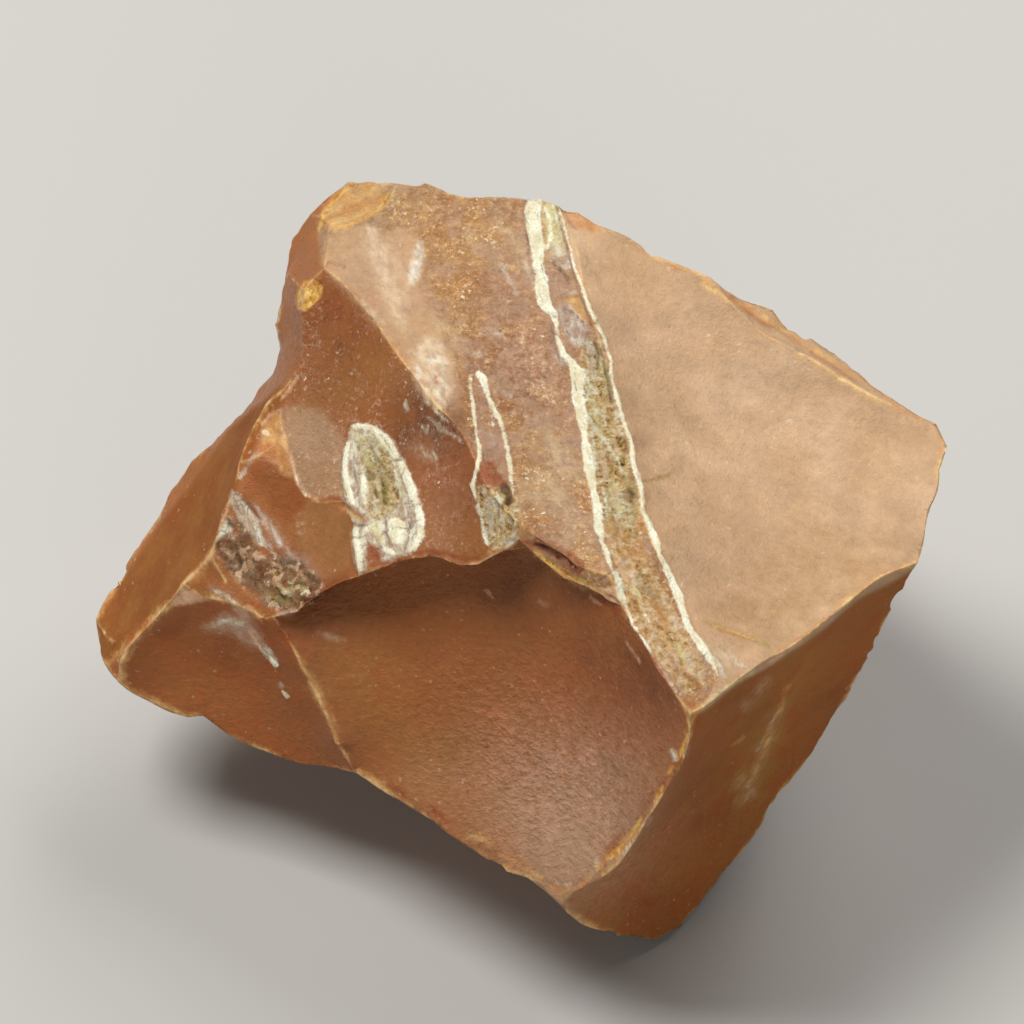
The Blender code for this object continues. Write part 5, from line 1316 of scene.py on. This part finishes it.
def mineral_colours(tree, settings, pattern):
    """The colour of each mineral, as a socket or as plain RGBA, by name."""
    plain = {
        "haze": "D2B690", "ghost": "DAC4A6", "mauve": "AC8872", "olive": "92803A",
        "straw": "E2D79C", "blush": "E4B892", "rust": "8E4424", "crack": "7E6A62",
        # rim: the thin pale line on the sharpest ridges, worn edge and a painted highlight in one.
        "dark": "3E1C04", "rim": "E6C892",
    }
    colour = {name: hex_colour(code) for name, code in plain.items()}

    # Filling: crumbs of ochre and tan between dark pits, the palest of them quartz. Crystals 0.5 mm
    # across, each of one colour, make up the patch of grit.
    crumbs = add(
        tree, "ShaderNodeMix", {"Factor": 0.3, VALUE_A: pattern["rag"], VALUE_B: pattern["streak"]}
    ).outputs[0]
    crystals = add(
        tree, "ShaderNodeTexVoronoi", {"Vector": pattern["bent"], "Scale": 1.9, "Randomness": 1.0}
    )
    drawn = add(tree, "ShaderNodeSeparateColor", {"Color": crystals.outputs["Color"]}).outputs[0]
    for name, value, first, last, between in (
        ("crumb", crumbs, (0.385, "64441A"), (0.592, "FFF8DC"),
         ((0.425, "B48E4A"), (0.483, "D8B478"), (0.537, "ECD6A6"))),
        ("crystals", drawn, (0.0, "381C0C"), (1.0, "EAC8A8"),
         ((0.28, "562A18"), (0.50, "7C4230"), (0.74, "80562A"))),
    ):
        made = add(tree, "ShaderNodeValToRGB", {"Fac": value})
        stops = made.color_ramp.elements
        for stop, (position, code) in zip((stops[0], stops[1]), (first, last)):
            stop.position, stop.color = position, hex_colour(code)
        for position, code in between:
            stops.new(position).color = hex_colour(code)
        colour[name] = made.outputs[0]

    # Opaque silica streaked along the grain. Worn edges run from pale yellow to orange, and fresh
    # glassy chips from gold to burnt orange, their brightest gold a painted glow of light through
    # them.
    for name, share, first, second in (
        ("cream", "grain_tint", settings.cream, "F0E6BC"),
        ("chalk", "grain_tint", hex_colour("E6E2C8"), "C4B89C"),
        ("milky", "grain_tint", hex_colour("DED3C0"), "A8907C"),
        ("amber", "warm", settings.amber, "BC7638"),
        ("honey_and_glow", "hot", hex_colour("F8D070"), "C07A26"),
    ):
        colour[name] = add(
            tree, "ShaderNodeMix",
            {"Factor": pattern[share], COLOUR_A: first, COLOUR_B: hex_colour(second)},
            data_type="RGBA",
        ).outputs[COLOUR_OUT]
    colour["edge"] = colour["amber"]

    # Seams of the chalk run between angular blocks 1 mm across
    blocks = add(
        tree, "ShaderNodeTexVoronoi", {"Vector": pattern["bent"], "Scale": 0.95, "Randomness": 1.0},
        feature="DISTANCE_TO_EDGE",
    )
    inside = add(
        tree, "ShaderNodeMath", {0: pattern["seam_width"], 1: blocks.outputs["Distance"]},
        operation="SUBTRACT",
    ).outputs[0]
    seams = add(
        tree, "ShaderNodeMapRange",
        {"Value": inside, "From Min": -0.03, "From Max": 0.05, "To Max": 0.65},
    ).outputs[0]
    # Brown among the grains of sand, crumbs among the crystals, grey hair cracks in the cream
    for name, share, under, over in (
        ("sand", 0.38, "crumb", hex_colour("A06C44")),
        ("grit", 0.20, "crystals", colour["crumb"]),
        ("cream", pattern["hair_cracks"], "cream", hex_colour("9C9484")),
        ("chalk", seams, "chalk", hex_colour("94796C")),
    ):
        colour[name] = add(
            tree, "ShaderNodeMix", {"Factor": share, COLOUR_A: colour[under], COLOUR_B: over},
            data_type="RGBA",
        ).outputs[COLOUR_OUT]
    return colour


def minerals_over(tree, body, settings, field, pattern):
    """Each mineral over the body, one on top of another, ragged at its edge and thin in places."""
    colour = mineral_colours(tree, settings, pattern)
    # Field, raggedness and softness of its edge in millimetres, least and greatest opacity
    for name, rag, soft, least, most in (
        ("edge", 1.6, 0.25, 0.35, 0.90),
        ("haze", 1.6, 0.60, 0.15, 0.75),
        ("ghost", 0.7, 0.28, 0.20, 0.68),
        ("mauve", 1.4, 0.45, 0.35, 0.80),
        ("chalk", 0.8, 0.16, 0.60, 1.0),
        ("crumb", 1.2, 0.30, 0.75, 0.98),
        ("sand", 1.2, 0.30, 0.60, 0.95),
        ("grit", 1.3, 0.25, 0.80, 1.0),
        ("olive", 1.2, 0.25, 0.40, 0.85),
        ("straw", 1.0, 0.25, 0.50, 0.90),
        ("milky", 0.9, 0.22, 0.50, 0.90),
        ("blush", 0.8, 0.14, 0.60, 0.95),
        ("cream", 0.60, 0.07, 0.85, 1.0),
        ("rust", 0.9, 0.20, 0.45, 0.90),
        ("amber", 1.0, 0.25, 0.45, 0.90),
        ("honey_and_glow", 0.6, 0.12, 0.70, 1.0),
        ("crack", 0.4, 0.06, 0.70, 0.95),
        ("dark", 0.7, 0.12, 0.60, 0.90),
        # The thin pale rim on the sharpest ridges: worn edge and a painted highlight in one.
        ("rim", 0.6, 0.12, 0.20, 0.75),
    ):
        cover = add(
            tree, "ShaderNodeMath", {0: pattern["rag"], 1: rag, 2: field[name]},
            operation="MULTIPLY_ADD",
        ).outputs[0]
        opacity = add(
            tree, "ShaderNodeMath", {0: pattern["thin"], 1: least - most, 2: most},
            operation="MULTIPLY_ADD",
        ).outputs[0]
        middle = 0.5 * rag
        mask = add(
            tree, "ShaderNodeMapRange",
            {
                "Value": cover, "From Min": middle - soft, "From Max": middle + soft,
                "To Max": opacity,
            },
        ).outputs[0]
        body = add(
            tree, "ShaderNodeMix", {"Factor": mask, COLOUR_A: body, COLOUR_B: colour[name]},
            data_type="RGBA",
        ).outputs[COLOUR_OUT]
    return body


def fine_relief(tree, field, pattern):
    """The normal turned by relief too fine for the mesh, most on rough facets and loose crumbs."""
    loose = add(
        tree, "ShaderNodeMath", {0: pattern["crumbs"], 1: pattern["grits"]}, operation="MAXIMUM"
    ).outputs[0]
    grain = add(
        tree, "ShaderNodeMath", {0: field["rough"], 1: 0.26, 2: 0.12}, operation="MULTIPLY_ADD"
    ).outputs[0]
    grain = add(
        tree, "ShaderNodeMath", {0: loose, 1: 0.45, 2: grain}, operation="MULTIPLY_ADD"
    ).outputs[0]
    off = add(tree, "ShaderNodeMath", {0: pattern["rag"], 1: 0.5}, operation="SUBTRACT").outputs[0]
    height = add(tree, "ShaderNodeMath", {0: off, 1: grain}, operation="MULTIPLY").outputs[0]
    for name, share in (("speck", 0.05), ("scales", 0.14)):
        height = add(
            tree, "ShaderNodeMath", {0: pattern[name], 1: share, 2: height},
            operation="MULTIPLY_ADD",
        ).outputs[0]
    return add(
        tree, "ShaderNodeBump", {"Height": height, "Strength": 1.0, "Distance": 1.0 * MM}
    ).outputs[0]


def jasper_material(settings):
    """Jasper: wood turned to fine-grained silica, stained by iron and broken like glass.

    It gives the eye waxy, shell-curved facets of brown and tan, amber where an edge is thin, and
    cream walls round olive and ochre crumbs where shipworms bored the wood before it turned.
    """
    material = bpy.data.materials.new("jasper_broken_silicified_wood")
    material.use_nodes = True
    tree = material.node_tree
    tree.nodes.clear()
    field = stored_fields(tree)
    pattern = patterns(tree, field)
    body = jasper_body(tree, settings, field, pattern)
    body = quartz_and_glints_over(tree, body, field, pattern)
    body = minerals_over(tree, body, settings, field, pattern)
    shine = add(
        tree, "ShaderNodeMath", {0: field["dull"], 1: 0.40, 2: pattern["shine"]},
        operation="MULTIPLY_ADD",
    ).outputs[0]
    shader = add(
        tree, "ShaderNodeBsdfPrincipled",
        {
            "Base Color": body, "Roughness": shine, "IOR": 1.54,
            "Specular IOR Level": pattern["gleam"], "Normal": fine_relief(tree, field, pattern),
        },
    )
    add(tree, "ShaderNodeOutputMaterial", {"Surface": shader.outputs[0]})
    return material


class STONE_OT_petrified_wood(bpy.types.Operator):
    """Make the stone: the solid refined, its ridges chipped, its veins and borings in relief"""

    bl_idname = "stone.petrified_wood"
    bl_label = "Petrified wood"

    def execute(self, context):
        settings = context.scene.stone_settings
        bm = bmesh.new()
        bm.from_mesh(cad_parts[NODE].data)
        bmesh.ops.remove_doubles(bm, verts=bm.verts, dist=WELD)
        mark_ridges(bm, math.radians(RIDGE_ANGLE))
        bmesh.ops.subdivide_edges(bm, edges=bm.edges, cuts=CUTS, use_grid_fill=True)
        relax(bm, FACET_ROUNDS)
        relax_ridges(bm, RIDGE_ROUNDS)
        refine(bm, near_ridges(bm, NEAR_RIDGE))
        relax(bm, LAST_ROUNDS)
        minerals = mineral_fields(places_of(bm), normals_of(bm))
        marked = np.max(list(minerals.values()), axis=0) > NEAR_MINERAL
        refine(bm, {v for v, close in zip(bm.verts, marked) if close})

        away, sharp = outer_ridges(bm)
        places, normals = places_of(bm), normals_of(bm)
        minerals = mineral_fields(places, normals)
        tones = tone_fields(places, normals)
        height = relief(places, settings, minerals, tones, away)
        move_along_normals(bm, chips(places, settings, away, sharp) + height)

        mesh = bpy.data.meshes.new("stone")
        bm.to_mesh(mesh)
        bm.free()
        store_fields(mesh, tones | minerals | worn_edges_and_ridge_highlight(places, settings, away, sharp))
        mesh.polygons.foreach_set("use_smooth", [True] * len(mesh.polygons))
        mesh.set_sharp_from_angle(angle=math.radians(SHADED_ANGLE))
        mesh.materials.append(jasper_material(settings))
        stone = bpy.data.objects.new("stone", mesh)
        context.scene.collection.objects.link(stone)
        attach(stone, "root")
        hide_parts(NODE)
        print("stone triangles", len(mesh.polygons))
        return {"FINISHED"}


# --- the stage -------------------------------------------------------------------------------


class StageSettings(bpy.types.PropertyGroup):
    floor_colour: bpy.props.FloatVectorProperty(
        name="Floor", description="Colour of the pale floor", subtype="COLOR", size=4, min=0, max=1,
        default=hex_colour("BAB7B2"),
    )
    key_power: bpy.props.FloatProperty(
        name="Key light", description="Power of the large soft light above", default=4.6, min=0.0,
        subtype="POWER", unit="POWER",
    )
    back_power: bpy.props.FloatProperty(
        name="Back light", description="Power of the soft light behind and to the right",
        default=3.0, min=0.0, subtype="POWER", unit="POWER",
    )
    front_power: bpy.props.FloatProperty(
        name="Front light", description="Power of the weak soft light low in front", default=1.1,
        min=0.0, subtype="POWER", unit="POWER",
    )
    sky: bpy.props.FloatProperty(
        name="Sky", description="Strength of the even light from all round", default=0.08, min=0.0,
    )
    view_width: bpy.props.FloatProperty(
        name="View width", description="Width that the camera takes in at the stone",
        default=87.04 * MM, min=0.01, subtype="DISTANCE", unit="LENGTH",
    )


def shown(right, up, out):
    """A place given as the show side is seen, in metres in the stone's own frame."""
    sin, cos = math.sin(SHOW_ELEVATION), math.cos(SHOW_ELEVATION)
    return (Vector(SHOW_MIDDLE) + Vector((right, up * sin - out * cos, up * cos + out * sin))) * MM


def soft_light(context, name, power, size, azimuth, elevation, aim):
    """A square soft light turned to its aim, placed by compass angle and height in degrees."""
    azimuth, elevation = math.radians(azimuth), math.radians(elevation)
    flat = math.cos(elevation)
    towards = Vector((math.cos(azimuth) * flat, math.sin(azimuth) * flat, math.sin(elevation)))
    light = bpy.data.lights.new(name, "AREA")
    light.energy = power
    light.size = size
    lamp = bpy.data.objects.new(name, light)
    lamp.location = aim + towards * LIGHT_DISTANCE
    lamp.rotation_mode = "QUATERNION"
    lamp.rotation_quaternion = (-towards).to_track_quat("-Z", "Y")
    context.scene.collection.objects.link(lamp)


def floor_material(colour):
    """Matt paper sweep: an even pale ground that takes a soft shadow."""
    material = bpy.data.materials.new("matt_paper_sweep")
    material.use_nodes = True
    shader = material.node_tree.nodes["Principled BSDF"]
    shader.inputs["Base Color"].default_value = colour
    shader.inputs["Roughness"].default_value = 0.9
    return material


class STONE_OT_stage(bpy.types.Operator):
    """Lay the pale floor, hang the soft lights and set the camera"""

    bl_idname = "stone.stage"
    bl_label = "Stage"

    def execute(self, context):
        settings = context.scene.stage_settings
        scene = context.scene
        bm = bmesh.new()
        bmesh.ops.create_grid(bm, x_segments=1, y_segments=1, size=2.0)
        mesh = bpy.data.meshes.new("floor")
        bm.to_mesh(mesh)
        bm.free()
        mesh.materials.append(floor_material(settings.floor_colour))
        floor = bpy.data.objects.new("floor", mesh)
        scene.collection.objects.link(floor)

        middle = Vector((0, 0, 22 * MM))
        soft_light(context, "key", settings.key_power, 0.28, 165, 65, middle)
        soft_light(context, "back", settings.back_power, 0.40, 52, 48, middle)
        soft_light(context, "front", settings.front_power, 0.40, 283, 18, middle)
        world = bpy.data.worlds.new("room")
        world.use_nodes = True
        sky = world.node_tree.nodes["Background"]
        sky.inputs["Color"].default_value = hex_colour("F2F0EC")
        sky.inputs["Strength"].default_value = settings.sky
        scene.world = world
        scene.view_settings.view_transform = "Standard"

        camera = bpy.data.cameras.new("camera")
        camera.sensor_width = 36.0
        camera.lens = camera.sensor_width * SHOW_DISTANCE * MM / settings.view_width
        camera.clip_start = 0.01
        holder = bpy.data.objects.new("camera", camera)
        aim = shown(*VIEW_MIDDLE, 0.0)
        holder.location = shown(*VIEW_MIDDLE, SHOW_DISTANCE)
        holder.rotation_mode = "QUATERNION"
        holder.rotation_quaternion = (aim - holder.location).to_track_quat("-Z", "Y")
        scene.collection.objects.link(holder)
        scene.camera = holder
        return {"FINISHED"}


class STONE_PT_panel(bpy.types.Panel):
    bl_label = "Petrified wood"
    bl_idname = "STONE_PT_panel"
    bl_space_type = "VIEW_3D"
    bl_region_type = "UI"
    bl_category = "Petrified wood"

    def draw(self, context):
        layout = self.layout
        for settings, operator in (
            (context.scene.stone_settings, STONE_OT_petrified_wood),
            (context.scene.stage_settings, STONE_OT_stage),
        ):
            box = layout.box()
            for name in settings.__annotations__:
                box.prop(settings, name)
            box.operator(operator.bl_idname)


CLASSES = (StoneSettings, StageSettings, STONE_OT_petrified_wood, STONE_OT_stage, STONE_PT_panel)


def register():
    for cls in CLASSES:
        bpy.utils.register_class(cls)
    bpy.types.Scene.stone_settings = bpy.props.PointerProperty(type=StoneSettings)
    bpy.types.Scene.stage_settings = bpy.props.PointerProperty(type=StageSettings)


def unregister():
    del bpy.types.Scene.stage_settings
    del bpy.types.Scene.stone_settings
    for cls in reversed(CLASSES):
        bpy.utils.unregister_class(cls)


def main():
    register()
    bpy.ops.stone.petrified_wood()
    bpy.ops.stone.stage()


if __name__ == "__main__":
    main()
